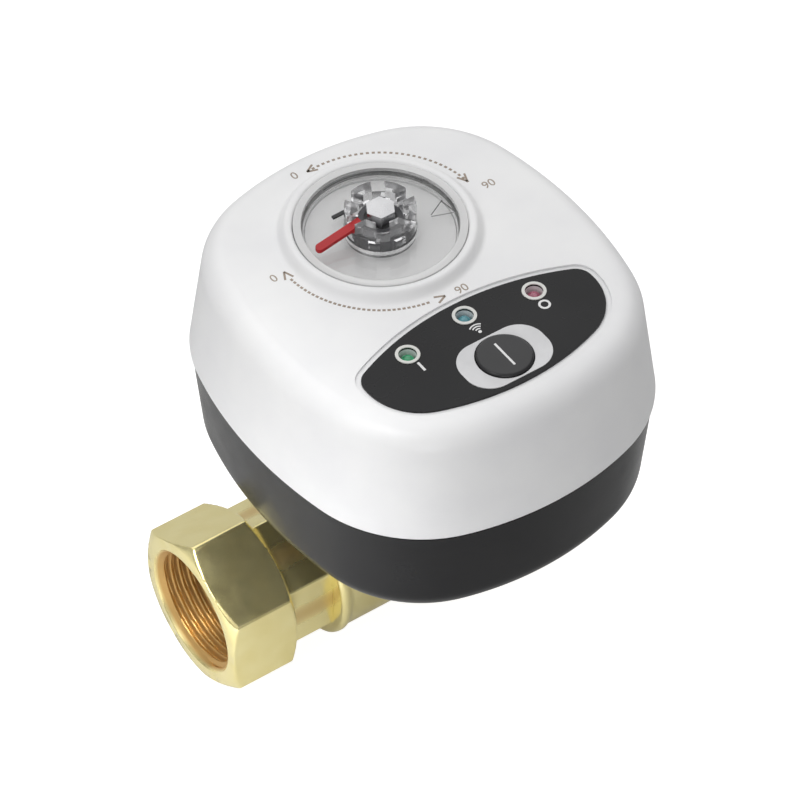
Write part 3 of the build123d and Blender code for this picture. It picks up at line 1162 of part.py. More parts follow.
with BuildPart() as manual_knob:
    add(discs([(STEM_X, 0)], KNOB_R, KNOB_Z, KNOB_TOP))
    add(discs([(STEM_X, 0)], TOP_SHAFT_R + SEAT_GAP, KNOB_Z, SPINDLE_SHOULDER_Z), mode=Mode.SUBTRACT)
    with BuildSketch(level(KNOB_Z)):
        RegularPolygon(SPINDLE_HEX / 2 + SEAT_GAP, side_count=6, major_radius=False)
    extrude(amount=KNOB_TOP - KNOB_Z, mode=Mode.SUBTRACT)
    add(discs([(STEM_X, 0)], KNOB_POCKET_R, KNOB_POCKET_Z, KNOB_TOP + OVERRUN), mode=Mode.SUBTRACT)
    with BuildSketch(level(NOTCH_Z)):
        with PolarLocations(KNOB_R, NOTCH_COUNT):
            Rectangle(KNOB_R, NOTCH_WIDTH)
    extrude(amount=KNOB_TOP - NOTCH_Z, mode=Mode.SUBTRACT)
    with BuildSketch(level(FLUTE_Z)):
        with PolarLocations(KNOB_R, FLUTE_COUNT):
            Rectangle(2 * FLUTE_DEPTH, FLUTE_WIDTH)
    extrude(amount=FLUTE_TOP - FLUTE_Z, mode=Mode.SUBTRACT)
save(manual_knob, "manual_knob")

with BuildPart() as pointer:
    with BuildSketch(Plane.XZ.offset(-POINTER_WIDTH / 2)):
        with BuildLine():
            Polyline((STEM_X - POINTER_ROOT_R, NOTCH_Z), (STEM_X - POINTER_ROOT_R, POINTER_ROOT_Z),
                     (STEM_X - POINTER_TIP_R, POINTER_TIP_Z),
                     (STEM_X - POINTER_TIP_R, POINTER_TIP_Z - POINTER_THICKNESS),
                     (STEM_X - KNOB_R, POINTER_NECK_Z), (STEM_X - KNOB_R, NOTCH_Z), close=True)
        make_face()
    extrude(amount=POINTER_WIDTH)
    tip_edges = pointer.edges().filter_by(Axis.Z).group_by(Axis.X)[0]
    fillet(tip_edges, POINTER_TIP_ROUND)
save(pointer, "pointer")
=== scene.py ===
import bpy
import bmesh
import math
from mathutils import Matrix, Vector


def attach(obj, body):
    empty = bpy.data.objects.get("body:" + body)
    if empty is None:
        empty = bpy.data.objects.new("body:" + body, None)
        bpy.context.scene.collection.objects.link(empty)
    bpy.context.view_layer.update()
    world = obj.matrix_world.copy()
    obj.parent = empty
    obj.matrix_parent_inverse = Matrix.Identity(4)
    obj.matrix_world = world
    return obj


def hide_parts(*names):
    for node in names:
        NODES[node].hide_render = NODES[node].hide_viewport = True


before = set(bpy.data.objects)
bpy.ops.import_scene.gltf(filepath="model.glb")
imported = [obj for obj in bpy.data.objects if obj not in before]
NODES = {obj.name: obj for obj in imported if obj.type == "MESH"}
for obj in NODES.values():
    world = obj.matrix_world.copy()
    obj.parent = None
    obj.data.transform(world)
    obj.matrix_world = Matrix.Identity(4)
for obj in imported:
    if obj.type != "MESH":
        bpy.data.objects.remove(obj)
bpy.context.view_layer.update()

# The studio: a pale floor, five soft lamps and an even sky, none of them part of the valve.
# The camera stands where the photograph was taken from, above the dial and towards port A and the panel.
MM = 0.001
AZIMUTH, ELEVATION = math.radians(34.76), math.radians(47.02)
DISTANCE, OFFSET_X, OFFSET_Y = 0.759, -0.0037, 0.03227
AIM = Vector((0.0465, 0.0, 0.081))
across = Vector((math.cos(AZIMUTH), -math.sin(AZIMUTH), 0))
ahead = Vector((math.cos(ELEVATION) * math.sin(AZIMUTH), math.cos(ELEVATION) * math.cos(AZIMUTH),
                -math.sin(ELEVATION)))
upward = Vector((math.sin(AZIMUTH) * math.sin(ELEVATION), math.cos(AZIMUTH) * math.sin(ELEVATION),
                 math.cos(ELEVATION)))

scene = bpy.context.scene
scene.view_settings.view_transform = "Standard"
lens = bpy.data.cameras.new("camera")
lens.lens, lens.sensor_width = 180, 36
lens.clip_start, lens.clip_end = 0.01, 20
camera = bpy.data.objects.new("camera", lens)
scene.collection.objects.link(camera)
stand = AIM - DISTANCE * ahead - OFFSET_X * across - OFFSET_Y * upward
turn = Matrix((across, upward, -ahead)).transposed().to_4x4()
camera.matrix_world = Matrix.Translation(stand) @ turn
scene.camera = camera

world = bpy.data.worlds.new("studio")
world.use_nodes = True
scene.world = world
sky = world.node_tree
backdrop = sky.nodes["Background"]
backdrop.inputs["Color"].default_value = (1, 1, 1, 1)
backdrop.inputs["Strength"].default_value = 1.0
ambient = sky.nodes.new("ShaderNodeBackground")
ambient.inputs["Color"].default_value = (1, 1, 1, 1)
direction = sky.nodes.new("ShaderNodeTexCoord")
split = sky.nodes.new("ShaderNodeSeparateXYZ")
fade = sky.nodes.new("ShaderNodeMapRange")
for socket, number in (("From Min", -1), ("From Max", 1), ("To Min", 0.36), ("To Max", 0.13)):
    fade.inputs[socket].default_value = number
overhead = sky.nodes.new("ShaderNodeMapRange")
for socket, number in (("From Min", 0.1), ("From Max", 1), ("To Min", 0), ("To Max", 0.38)):
    overhead.inputs[socket].default_value = number
both = sky.nodes.new("ShaderNodeMath")
both.operation = "ADD"
sky.links.new(direction.outputs["Generated"], split.inputs["Vector"])
sky.links.new(split.outputs["X"], fade.inputs["Value"])
sky.links.new(split.outputs["Z"], overhead.inputs["Value"])
sky.links.new(fade.outputs["Result"], both.inputs[0])
sky.links.new(overhead.outputs["Result"], both.inputs[1])
sky.links.new(both.outputs["Value"], ambient.inputs["Strength"])
seen = sky.nodes.new("ShaderNodeLightPath")
choose = sky.nodes.new("ShaderNodeMixShader")
sky.links.new(seen.outputs["Is Camera Ray"], choose.inputs["Fac"])
sky.links.new(ambient.outputs["Background"], choose.inputs[1])
sky.links.new(backdrop.outputs["Background"], choose.inputs[2])
sky.links.new(choose.outputs["Shader"], sky.nodes["World Output"].inputs["Surface"])


def lamp(name, place, target, size, energy):
    """A soft square lamp at a place, turned towards a target."""
    data = bpy.data.lights.new(name, "AREA")
    data.shape, data.size, data.energy = "SQUARE", size, energy
    light = bpy.data.objects.new(name, data)
    scene.collection.objects.link(light)
    light.location = place
    light.rotation_euler = (Vector(target) - Vector(place)).to_track_quat("-Z", "Y").to_euler()


lamp("key", (-0.62, -0.12, 0.62), (0.04, 0, 0.05), 0.5, 0.95)
lamp("top", (0.5, 0.62, 0.9), (0.05, 0, 0.08), 2.0, 9.5)
lamp("front", (-0.1, -0.95, 0.4), (0.05, 0, 0.05), 0.35, 0.1)
lamp("pool", (-0.12, -0.07, 0.3), (-0.12, -0.07, 0), 0.1, 0.36)
lamp("low", (-0.25, -0.55, 0.12), (0.02, -0.02, 0), 0.2, 0.4)
bpy.data.lights["pool"].spread = math.radians(60)


def mesh_object(name, verts, faces, body, smooth=True, sharp=None):
    """A mesh piece from points in metres, at the origin, riding on a body."""
    mesh = bpy.data.meshes.new(name)
    mesh.from_pydata([tuple(v) for v in verts], [], faces)
    mesh.update()
    piece = bpy.data.objects.new(name, mesh)
    scene.collection.objects.link(piece)
    if smooth:
        mesh.shade_smooth()
        if sharp is not None:
            mesh.set_sharp_from_angle(angle=math.radians(sharp))
    if body:
        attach(piece, body)
    return piece


FLOOR_Z = -0.0185
FLOOR_REACH = 6
corners = [(x * FLOOR_REACH, y * FLOOR_REACH, FLOOR_Z) for x, y in ((-1, -1), (1, -1), (1, 1), (-1, 1))]
floor = mesh_object("floor", corners, [(0, 1, 2, 3)], None)


class Finish:
    """One node material, with its constants on the shader and its detail made from noise."""

    def __init__(self, name, colour, roughness, metallic=0.0, **settings):
        self.material = bpy.data.materials.new(name)
        self.material.use_nodes = True
        self.tree = self.material.node_tree
        self.shader = self.tree.nodes["Principled BSDF"]
        self.shader.inputs["Metallic"].default_value = metallic
        self.shader.inputs["Roughness"].default_value = roughness
        self.shader.inputs["Base Color"].default_value = (*colour, 1)
        for socket, value in settings.items():
            self.shader.inputs[socket.replace("_", " ")].default_value = value
        self.coordinates = self.tree.nodes.new("ShaderNodeTexCoord")
        self.normal = None

    def link(self, source, target):
        """Join an output socket to an input socket."""
        self.tree.links.new(source, target)

    def noise(self, size_mm, detail=3.0, stretch=(1, 1, 1)):
        """Noise whose grains are about that size, stretched along an axis by a share below one."""
        mapping = self.tree.nodes.new("ShaderNodeMapping")
        mapping.inputs["Scale"].default_value = stretch
        noise = self.tree.nodes.new("ShaderNodeTexNoise")
        noise.inputs["Scale"].default_value = 1000 / size_mm
        noise.inputs["Detail"].default_value = detail
        self.link(self.coordinates.outputs["Object"], mapping.inputs["Vector"])
        self.link(mapping.outputs["Vector"], noise.inputs["Vector"])
        return noise.outputs["Fac"]

    def remap(self, value, low, high, start=0.3, end=0.7):
        """A value moved from one range to another; the first range suits noise."""
        node = self.tree.nodes.new("ShaderNodeMapRange")
        for socket, number in (("From Min", start), ("From Max", end), ("To Min", low), ("To Max", high)):
            node.inputs[socket].default_value = number
        self.link(value, node.inputs["Value"])
        return node.outputs["Result"]

    def mix(self, factor, first, second):
        """A mix of two colours, each a tuple or a socket."""
        node = self.tree.nodes.new("ShaderNodeMix")
        node.data_type = "RGBA"
        self.link(factor, node.inputs[0])
        for socket, colour in ((node.inputs[6], first), (node.inputs[7], second)):
            if isinstance(colour, tuple):
                socket.default_value = (*colour, 1)
            else:
                self.link(colour, socket)
        return node.outputs[2]

    def drift(self, size_mm, dark, light, rough_low, rough_high, detail=3.0):
        """Colour and roughness that drift over a distance."""
        value = self.noise(size_mm, detail)
        colour = self.mix(self.remap(value, 0, 1), dark, light)
        self.link(colour, self.shader.inputs["Base Color"])
        rough = self.remap(self.noise(size_mm / 3), rough_low, rough_high)
        self.link(rough, self.shader.inputs["Roughness"])
        return colour

    def bump(self, value, distance_mm):
        """A bump of that height, laid over any earlier one."""
        node = self.tree.nodes.new("ShaderNodeBump")
        node.inputs["Distance"].default_value = distance_mm * MM
        self.link(value, node.inputs["Height"])
        if self.normal is not None:
            self.link(self.normal, node.inputs["Normal"])
        self.normal = node.outputs["Normal"]
        self.link(self.normal, self.shader.inputs["Normal"])


FLOOR_GLOW, GLOSSY_SHARE = 0.9, 0.2
stage_finish = Finish("pale_floor", (0.92, 0.92, 0.92), 0.8)
stage_finish.drift(60, (0.42, 0.42, 0.42), (0.44, 0.44, 0.44), 0.75, 0.85)
bright = stage_finish.tree.nodes.new("ShaderNodeEmission")
bright.inputs["Color"].default_value = (1, 1, 1, 1)
bright.inputs["Strength"].default_value = FLOOR_GLOW
seen = stage_finish.tree.nodes.new("ShaderNodeLightPath")
added = stage_finish.tree.nodes.new("ShaderNodeAddShader")
choose = stage_finish.tree.nodes.new("ShaderNodeMixShader")
stage_finish.link(stage_finish.shader.outputs["BSDF"], added.inputs[0])
stage_finish.link(bright.outputs["Emission"], added.inputs[1])
share = stage_finish.tree.nodes.new("ShaderNodeMath")
share.operation = "MULTIPLY_ADD"
share.inputs[1].default_value = GLOSSY_SHARE
stage_finish.link(seen.outputs["Is Glossy Ray"], share.inputs[0])
stage_finish.link(seen.outputs["Is Camera Ray"], share.inputs[2])
stage_finish.link(share.outputs["Value"], choose.inputs["Fac"])
stage_finish.link(stage_finish.shader.outputs["BSDF"], choose.inputs[1])
stage_finish.link(added.outputs["Shader"], choose.inputs[2])
stage_finish.link(choose.outputs["Shader"], stage_finish.tree.nodes["Material Output"].inputs["Surface"])
floor.data.materials.append(stage_finish.material)

# End adapter and valve body: forged brass with turned faces and a helical G3/4 thread in each hexagonal end.
# The body is one forging with a barrel between two rounded collars and a turned boss under the drive.
# The adapter screws into it.
# Radii between which the brass turns to the painted shade of the bore, and the bore's extra roughness.
BORE_SHADE_R, FACE_SHADE_R, BORE_ROUGHNESS = 0.0130, 0.0136, 0.22


def brass_finish(name, dark, light, thread):
    """Forged brass with machined faces: pale and bright outside, darker and browner in the thread and the
    passage as painted shade.
    """
    finish = Finish(name, light, 0.25, 0.88)
    tone = finish.mix(finish.remap(finish.noise(5, 4.0), 0, 1), dark, light)
    split = finish.tree.nodes.new("ShaderNodeSeparateXYZ")
    finish.link(finish.coordinates.outputs["Object"], split.inputs["Vector"])
    squares = []
    for axis in ("Y", "Z"):
        square = finish.tree.nodes.new("ShaderNodeMath")
        square.operation = "MULTIPLY"
        finish.link(split.outputs[axis], square.inputs[0])
        finish.link(split.outputs[axis], square.inputs[1])
        squares.append(square.outputs["Value"])
    total = finish.tree.nodes.new("ShaderNodeMath")
    total.operation = "ADD"
    finish.link(squares[0], total.inputs[0])
    finish.link(squares[1], total.inputs[1])
    # Painted shade: the thread and the passage take the darker, browner colour inside the bore.
    inside = finish.remap(total.outputs["Value"], 1, 0, BORE_SHADE_R ** 2, FACE_SHADE_R ** 2)
    finish.link(finish.mix(inside, tone, thread), finish.shader.inputs["Base Color"])
    rougher = finish.tree.nodes.new("ShaderNodeMath")
    rougher.operation = "MULTIPLY_ADD"
    rougher.inputs[1].default_value = BORE_ROUGHNESS
    finish.link(inside, rougher.inputs[0])
    finish.link(finish.remap(finish.noise(2.4), 0.2, 0.27), rougher.inputs[2])
    finish.link(rougher.outputs["Value"], finish.shader.inputs["Roughness"])
    finish.bump(finish.noise(0.5, 3.0), 0.003)
    finish.bump(finish.noise(9, 2.0), 0.02)
    return finish.material


brass = brass_finish("forged_brass", (0.92, 0.80, 0.37), (0.98, 0.88, 0.45), (0.62, 0.39, 0.14))
LENGTH = 93.0
HEX_FLATS, NECK_FLATS = 32.0, 26.5
HEX_LENGTH, SEAM_X = 15.0, 25.3
CORNER_SHARE = 2 / math.sqrt(3)
CHAMFER_DEPTH, CHAMFER_RUN, EDGE_BREAK = 2.2, 1.3, 0.25
FACE_R = HEX_FLATS / 2 * CORNER_SHARE - CHAMFER_DEPTH
ROOT_RISE, ROOT_RUN = 0.5, 1.0
EDGE_SOFT, CORNER_SOFT = 0.35, 0.7
PITCH, THREAD_DEPTH, THREAD_R, THREAD_END, THREAD_FADE = 1.814, 1.05, 12.06, 14.0, 1.6
THREAD_START, THREAD_STEP, THREAD_RINGS = 1.3, 0.151, 85
MOUTH_R, WATERWAY_R, CONE_END = 13.7, 8.9, 16.4
SPIGOT_R, SPIGOT_END, SPIGOT_BREAK = 13.9, 34.0, 0.2
CAVITY_R, SPIGOT_GAP = 13.4, 0.05
SECTOR = [0, 0.5, 1.0, 1.7, 2.6, 4, 6, 9, 12, 15, 18, 21, 24, 27]
ANGLES = sorted({60 * k + step for k in range(6) for step in SECTOR + [30]}
                | {60 * k - step for k in range(1, 7) for step in SECTOR[1:]})


def outward(piece, merge=None):
    """Turn the faces of a closed piece outwards, first merging points that coincide."""
    work = bmesh.new()
    work.from_mesh(piece.data)
    if merge:
        bmesh.ops.remove_doubles(work, verts=work.verts, dist=merge)
    bmesh.ops.recalc_face_normals(work, faces=work.faces)
    work.to_mesh(piece.data)
    work.free()
    return piece


def soft_min(a, b, width):
    """The smaller of two sizes, rounded off over a width where they meet."""
    blend = max(width - abs(a - b), 0) / width
    return min(a, b) - blend * blend * width / 4


def hexagon(angle, flats):
    """Radius of a hexagon with softened corners; its corners are at multiples of 60 degrees."""
    turn = (angle + 30) % 60 - 30
    one = flats / 2 / math.cos(math.radians(turn - 30))
    other = flats / 2 / math.cos(math.radians(turn + 30))
    return soft_min(one, other, CORNER_SOFT)


def thread_radius(depth, angle, hand):
    """Radius of the threaded bore at a depth from the mouth: rounded crests that fade in and out."""
    phase = depth / PITCH - hand * angle / 360
    crest = 0.5 - 0.5 * math.cos(2 * math.pi * phase)
    fade = min(max((THREAD_END - depth) / THREAD_FADE, 0), 1)
    return max(THREAD_R + THREAD_DEPTH * (1 - crest) * fade, MOUTH_R - depth)


def pipe_piece(name, rings):
    """A closed piece round the pipe axis from rings of (x, function of angle)."""
    verts, faces, count = [], [], len(ANGLES)
    for x, radius in rings:
        for angle in ANGLES:
            r, a = radius(angle), math.radians(angle)
            verts.append((x * MM, r * math.sin(a) * MM, r * math.cos(a) * MM))
    for i in range(len(rings)):
        j = (i + 1) % len(rings)
        for k in range(count):
            m = (k + 1) % count
            faces.append((i * count + k, i * count + m, j * count + m, j * count + k))
    piece = outward(mesh_object(name, verts, faces, None, True, 42))
    piece.data.materials.append(brass)
    return piece


def plain(radius):
    """A round ring, the same radius at every angle."""
    return lambda angle: radius


def end_rings(mouth, inward, hand):
    """The outside of one end from its mouth to the barrel, and its bore from the mouth inwards."""
    outside, inside = [], []
    depths = [0, 0.12, 0.35, 0.7, 1.0, 1.3, 1.7, 2.2, 3, 4.5, 6, 7.5, 9, 10.5, 12, 12.8, 13.3, 13.7, 14.0,
              14.3, 14.65, 14.88, 15.0]
    for depth in depths:
        edge = min(depth, HEX_LENGTH - depth)
        blank = FACE_R + CHAMFER_DEPTH * edge / CHAMFER_RUN - EDGE_BREAK * max(0, 1 - edge / EDGE_BREAK)
        outside.append((mouth + inward * depth,
                        lambda angle, b=blank: soft_min(hexagon(angle, HEX_FLATS), b, EDGE_SOFT)))
    for depth in (15.0, 15.5, 17, 19, 21, 23, 24.6, SEAM_X):
        swell = ROOT_RISE * max(0, 1 - (depth - HEX_LENGTH) / ROOT_RUN) ** 2
        outside.append((mouth + inward * depth, lambda angle, s=swell: hexagon(angle, NECK_FLATS) + s))
    steps = [0, 0.3, 0.8] + [THREAD_START + THREAD_STEP * k for k in range(THREAD_RINGS)]
    for depth in steps:
        inside.append((mouth + inward * depth, lambda angle, d=depth: thread_radius(d, angle, hand)))
    passage = [(THREAD_END, THREAD_R + 0.4), (THREAD_END + 0.6, THREAD_R),
               (CONE_END + 0.3, WATERWAY_R + 0.2), (CONE_END + 0.8, WATERWAY_R)]
    inside += [(mouth + inward * depth, plain(radius)) for depth, radius in passage]
    return outside, inside


outside, inside = end_rings(0, 1, 1)
spigot = [(SEAM_X, SPIGOT_R), (SPIGOT_END - SPIGOT_BREAK, SPIGOT_R), (SPIGOT_END, SPIGOT_R - SPIGOT_BREAK),
          (SPIGOT_END, WATERWAY_R)]
adapter = pipe_piece("end_adapter_visual", outside + [(x, plain(r)) for x, r in spigot] + inside[::-1])
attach(adapter, "valve")
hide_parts("end_adapter")

outside, inside = end_rings(LENGTH, -1, -1)
BARREL_R, COLLAR_R = 16.8, 17.3
FAR_SEAM = LENGTH - SEAM_X


def collar(start, direction):
    """A rounded collar, from its outer face towards the barrel."""
    shape = [(0, 16.2), (0.15, 16.75), (0.5, 17.15), (1.0, COLLAR_R), (1.6, COLLAR_R), (2.1, 17.12),
             (2.45, 16.9), (2.8, BARREL_R), (3.3, BARREL_R)]
    return [(start + direction * x, plain(r)) for x, r in shape]


middle = [(x, plain(BARREL_R)) for x in (58, 50, 42, 34)]
barrel = outside + collar(FAR_SEAM, -1) + middle + collar(SEAM_X, 1)[::-1]
cavity = [(SEAM_X, SPIGOT_R + SPIGOT_GAP), (SPIGOT_END, SPIGOT_R + SPIGOT_GAP), (SPIGOT_END, CAVITY_R),
          (LENGTH - SPIGOT_END, CAVITY_R), (LENGTH - SPIGOT_END, WATERWAY_R)]
body = pipe_piece("valve_body_visual", barrel + [(x, plain(r)) for x, r in cavity] + inside[::-1])
STEM_X = 46.5
STEM = Vector((STEM_X, 0.0, 0.0)) * MM
MERGE_DISTANCE = 1e-6


def lathe_faces(profile, verts, faces, place=STEM, count=160, closed=True):
    """Add a turned shape about a vertical axis to lists of points and faces, from (radius, height) in mm."""
    base, rings = len(verts), len(profile)
    for radius, height in profile:
        for k in range(count):
            a = 2 * math.pi * k / count
            x, y = radius * MM * math.cos(a), radius * MM * math.sin(a)
            verts.append((place[0] + x, place[1] + y, height * MM))
    for i in range(rings if closed else rings - 1):
        j = (i + 1) % rings
        for k in range(count):
            m = (k + 1) % count
            low, high = base + i * count, base + j * count
            faces.append((low + k, low + m, high + m, high + k))


def lathe(name, profile, count=160, sharp=35):
    """A turned piece about the stem."""
    verts, faces = [], []
    lathe_faces(profile, verts, faces, STEM, count)
    return outward(mesh_object(name, verts, faces, None, True, sharp), MERGE_DISTANCE)


def join(name, pieces, sharp):
    """One mesh piece from several, with their materials."""
    whole = bmesh.new()
    materials = []
    for piece in pieces:
        start = len(whole.faces)
        whole.from_mesh(piece.data)
        whole.faces.ensure_lookup_table()
        for face in whole.faces[start:]:
            own = piece.data.materials[face.material_index] if piece.data.materials else None
            if own not in materials:
                materials.append(own)
            face.material_index = materials.index(own)
    mesh = bpy.data.meshes.new(name)
    whole.to_mesh(mesh)
    whole.free()
    for material in materials:
        mesh.materials.append(material)
    for piece in pieces:
        bpy.data.objects.remove(piece)
    joined = bpy.data.objects.new(name, mesh)
    scene.collection.objects.link(joined)
    mesh.shade_smooth()
    mesh.set_sharp_from_angle(angle=math.radians(sharp))
    return joined


STEM_HOLE_R, PACKING_R, NECK_R, BOSS_R, FLANGE_R = 4.56, 7.25, 9.5, 12.0, 15.5
FLANGE_LOW_Z, FLANGE_Z, PACKING_Z, NECK_TOP = 29.0, 32.5, 37.6, 44.0
FLANGE_BREAK, NECK_BREAK = 0.4, 0.6
profile = [(STEM_HOLE_R, 16.2), (10, 14.0), (12.9, 12.6), (12.3, 16.4), (BOSS_R, 18.0), (BOSS_R, 27.8),
           (12.4, 28.6), (13.2, FLANGE_LOW_Z), (FLANGE_R - FLANGE_BREAK, FLANGE_LOW_Z),
           (FLANGE_R, FLANGE_LOW_Z + FLANGE_BREAK), (FLANGE_R, FLANGE_Z - FLANGE_BREAK),
           (FLANGE_R - FLANGE_BREAK, FLANGE_Z), (NECK_R, FLANGE_Z), (NECK_R, NECK_TOP - NECK_BREAK),
           (NECK_R - NECK_BREAK, NECK_TOP), (PACKING_R, NECK_TOP), (PACKING_R, PACKING_Z),
           (STEM_HOLE_R, PACKING_Z)]
boss = lathe("boss", profile)
boss.data.materials.append(brass)
body = join("valve_body_visual", [body, boss], 42)
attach(body, "valve")
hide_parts("valve_body")


def plastic(name, dark, light, rough_low, rough_high, grain_mm=0.25, grain_height=0.004):
    """Moulded plastic: slow drift of tone and gloss, and a fine grain."""
    finish = Finish(name, light, rough_high)
    finish.drift(14, dark, light, rough_low, rough_high)
    finish.bump(finish.noise(grain_mm, 2.0), grain_height)
    return finish.material


def metal(name, dark, light, rough_low, rough_high, grain_mm=0.5, grain_height=0.004, stretch=(1, 1, 1)):
    """Bare metal: drift of tone, uneven gloss and tool marks."""
    finish = Finish(name, light, rough_high, 1.0)
    finish.drift(6, dark, light, rough_low, rough_high, 4.0)
    finish.bump(finish.noise(grain_mm, 3.0, stretch), grain_height)
    return finish.material


def dress(material, *names):
    """Give CAD nodes a material."""
    for name in names:
        for place in NODES[name].material_slots:
            place.material = material


turned_brass = metal("turned_brass", (0.68, 0.5, 0.22), (0.8, 0.64, 0.32), 0.2, 0.34, 0.4, 0.004, (1, 1, 8))
dress(turned_brass, "stem", "gland_nut")
chrome = metal("ball_plating", (0.75, 0.75, 0.76), (0.85, 0.85, 0.86), 0.05, 0.1, 1.0, 0.001)
dress(chrome, "ball")
ptfe = plastic("ptfe", (0.78, 0.78, 0.76), (0.86, 0.86, 0.85), 0.4, 0.5, 0.4, 0.002)
dress(ptfe, "seat_upstream", "seat_downstream", "stem_thrust_washer", "packing_ring")
rubber = plastic("seal_rubber", (0.015, 0.015, 0.016), (0.03, 0.03, 0.03), 0.6, 0.75, 0.3, 0.006)
dress(rubber, "adapter_oring", "stem_orings", "neck_gasket", "perimeter_gasket", "inlet_seal")

# Clamp nut, washer and screws: steel with a bright zinc plating. The nut draws the drive down on the valve's
# neck, and the screws hold the cover, the gearbox, the motor and the control board.
zinc = metal("zinc_plate", (0.58, 0.59, 0.6), (0.7, 0.7, 0.7), 0.25, 0.4, 0.3, 0.003)
dress(zinc, "clamp_washer", "clamp_nut", "cover_screws", "gearbox_screws", "motor_screws", "board_screws")

# Gear motor and gearbox: a drawn steel can, black nylon plates and natural acetal gears on ground stainless
# shafts, with a bronze bush. The nickel-plated magnet is pressed into the output gear.
can_steel = metal("motor_can", (0.55, 0.55, 0.56), (0.66, 0.66, 0.67), 0.28, 0.4, 0.4, 0.003, (1, 1, 6))
dress(can_steel, "gear_motor")
stainless = metal("ground_stainless", (0.5, 0.5, 0.51), (0.62, 0.62, 0.63), 0.2, 0.32, 0.25, 0.004,
                  (1, 1, 10))
dress(stainless, "drive_spindle", "intermediate_axle", "retaining_ring", "clutch_disc", "clutch_springs",
      "motor_pinion")
nylon = plastic("gearbox_nylon", (0.02, 0.02, 0.022), (0.035, 0.035, 0.037), 0.4, 0.55, 0.4, 0.006)
dress(nylon, "gearbox_base", "gearbox_lid")
acetal = plastic("gear_acetal", (0.78, 0.76, 0.68), (0.85, 0.83, 0.76), 0.32, 0.42, 0.3, 0.003)
dress(acetal, "output_gear", "intermediate_gear")
bronze = metal("bush_bronze", (0.42, 0.24, 0.1), (0.55, 0.34, 0.17), 0.35, 0.5, 0.3, 0.006)
dress(bronze, "spindle_bush")
nickel = metal("magnet_nickel", (0.6, 0.58, 0.54), (0.7, 0.68, 0.64), 0.15, 0.25, 0.5, 0.002)
dress(nickel, "position_magnet")

# Circuit boards: green lacquered glass fibre with a tinned radio can, a pale connector and a black switch,
# soldered on. The power socket in the shell's back wall is the same black plastic.
board = plastic("board_lacquer", (0.01, 0.09, 0.03), (0.02, 0.14, 0.05), 0.2, 0.3, 0.6, 0.004)
dress(board, "control_board", "sensor_board")
tinned = metal("tinned_can", (0.6, 0.6, 0.58), (0.72, 0.72, 0.7), 0.25, 0.35, 0.6, 0.004)
dress(tinned, "radio_module")
connector = plastic("connector_nylon", (0.72, 0.69, 0.6), (0.8, 0.77, 0.7), 0.35, 0.45)
dress(connector, "board_connector")
black_plastic = plastic("black_plastic", (0.012, 0.012, 0.013), (0.022, 0.022, 0.023), 0.3, 0.42, 0.3, 0.005)
dress(black_plastic, "tact_switch", "switch_plunger", "power_inlet")

# Upper cover: injection-moulded white plastic with a fine texture, drafted inwards, screwed on from below.
# Its plan has four shallow arcs and round corners, and a raised ring stands round the dial.
HOUSING = Vector((STEM_X, -13.6))
HALF_WIDTH, HALF_DEPTH, SIDE_R, FRONT_R, CORNER_R = 39.95, 44.15, 92.0, 64.0, 27.8
PARTING_Z, TOP_Z, BASE_Z, WALL = 57.0, 81.0, 33.0, 2.5
side_x, front_y = HALF_WIDTH - SIDE_R, HALF_DEPTH - FRONT_R
gap = math.hypot(side_x, front_y)
reach_side, reach_front = SIDE_R - CORNER_R, FRONT_R - CORNER_R
along = (reach_side ** 2 - reach_front ** 2 + gap ** 2) / (2 * gap)
height = math.sqrt(reach_side ** 2 - along ** 2)
ux, uy = -side_x / gap, front_y / gap
corner = (side_x + along * ux - height * uy, along * uy + height * ux)
side_end = math.atan2(corner[1], corner[0] - side_x)
front_start = math.atan2(corner[1] - front_y, corner[0])


def quadrant():
    """Points and outward normals of a quarter of the plan, with the same spacing along each arc."""
    arcs = [(side_x, 0, SIDE_R, 0, side_end), (*corner, CORNER_R, side_end, front_start),
            (0, front_y, FRONT_R, front_start, math.pi / 2)]
    points = []
    for cx, cy, radius, start, end in arcs:
        steps = max(4, round(radius * (end - start) / 0.9))
        for k in range(steps):
            a = start + (end - start) * k / steps
            points.append((cx + radius * math.cos(a), cy + radius * math.sin(a), math.cos(a), math.sin(a)))
    return points


quarter = quadrant()
PLAN = list(quarter)
PLAN += [(0, HALF_DEPTH, 0, 1)] + [(-x, y, -nx, ny) for x, y, nx, ny in quarter[:0:-1]]
PLAN += [(-HALF_WIDTH, 0, -1, 0)] + [(-x, -y, -nx, -ny) for x, y, nx, ny in quarter[1:]]
PLAN += [(0, -HALF_DEPTH, 0, -1)] + [(x, -y, nx, -ny) for x, y, nx, ny in quarter[:0:-1]]


def plan_ring(inset, z):
    """The plan at a height, moved in by an inset."""
    return [((HOUSING.x + x - nx * inset) * MM, (HOUSING.y + y - ny * inset) * MM, z * MM)
            for x, y, nx, ny in PLAN]


def skin(name, rings):
    """A closed shell from rings of (inset, height), outer face, rim and inner face in turn."""
    verts, faces, count = [], [], len(PLAN)
    for inset, z in rings:
        verts += plan_ring(inset, z)
    for i in range(len(rings) - 1):
        for k in range(count):
            m = (k + 1) % count
            faces.append((i * count + k, i * count + m, (i + 1) * count + m, (i + 1) * count + k))
    last = (len(rings) - 1) * count
    faces.append(tuple(range(count - 1, -1, -1)))
    faces.append(tuple(range(last, last + count)))
    return outward(mesh_object(name, verts, faces, None, False))


def cut(piece, cutters, sharp=32):
    """Subtract closed cutters from a piece and shade what is left."""
    for cutter in cutters:
        modifier = piece.modifiers.new("cut", "BOOLEAN")
        modifier.operation, modifier.solver, modifier.object = "DIFFERENCE", "EXACT", cutter
    graph = bpy.context.evaluated_depsgraph_get()
    mesh = bpy.data.meshes.new_from_object(piece.evaluated_get(graph))
    piece.modifiers.clear()
    piece.data = mesh
    for cutter in cutters:
        bpy.data.objects.remove(cutter)
    mesh.shade_smooth()
    mesh.set_sharp_from_angle(angle=math.radians(sharp))
    return piece


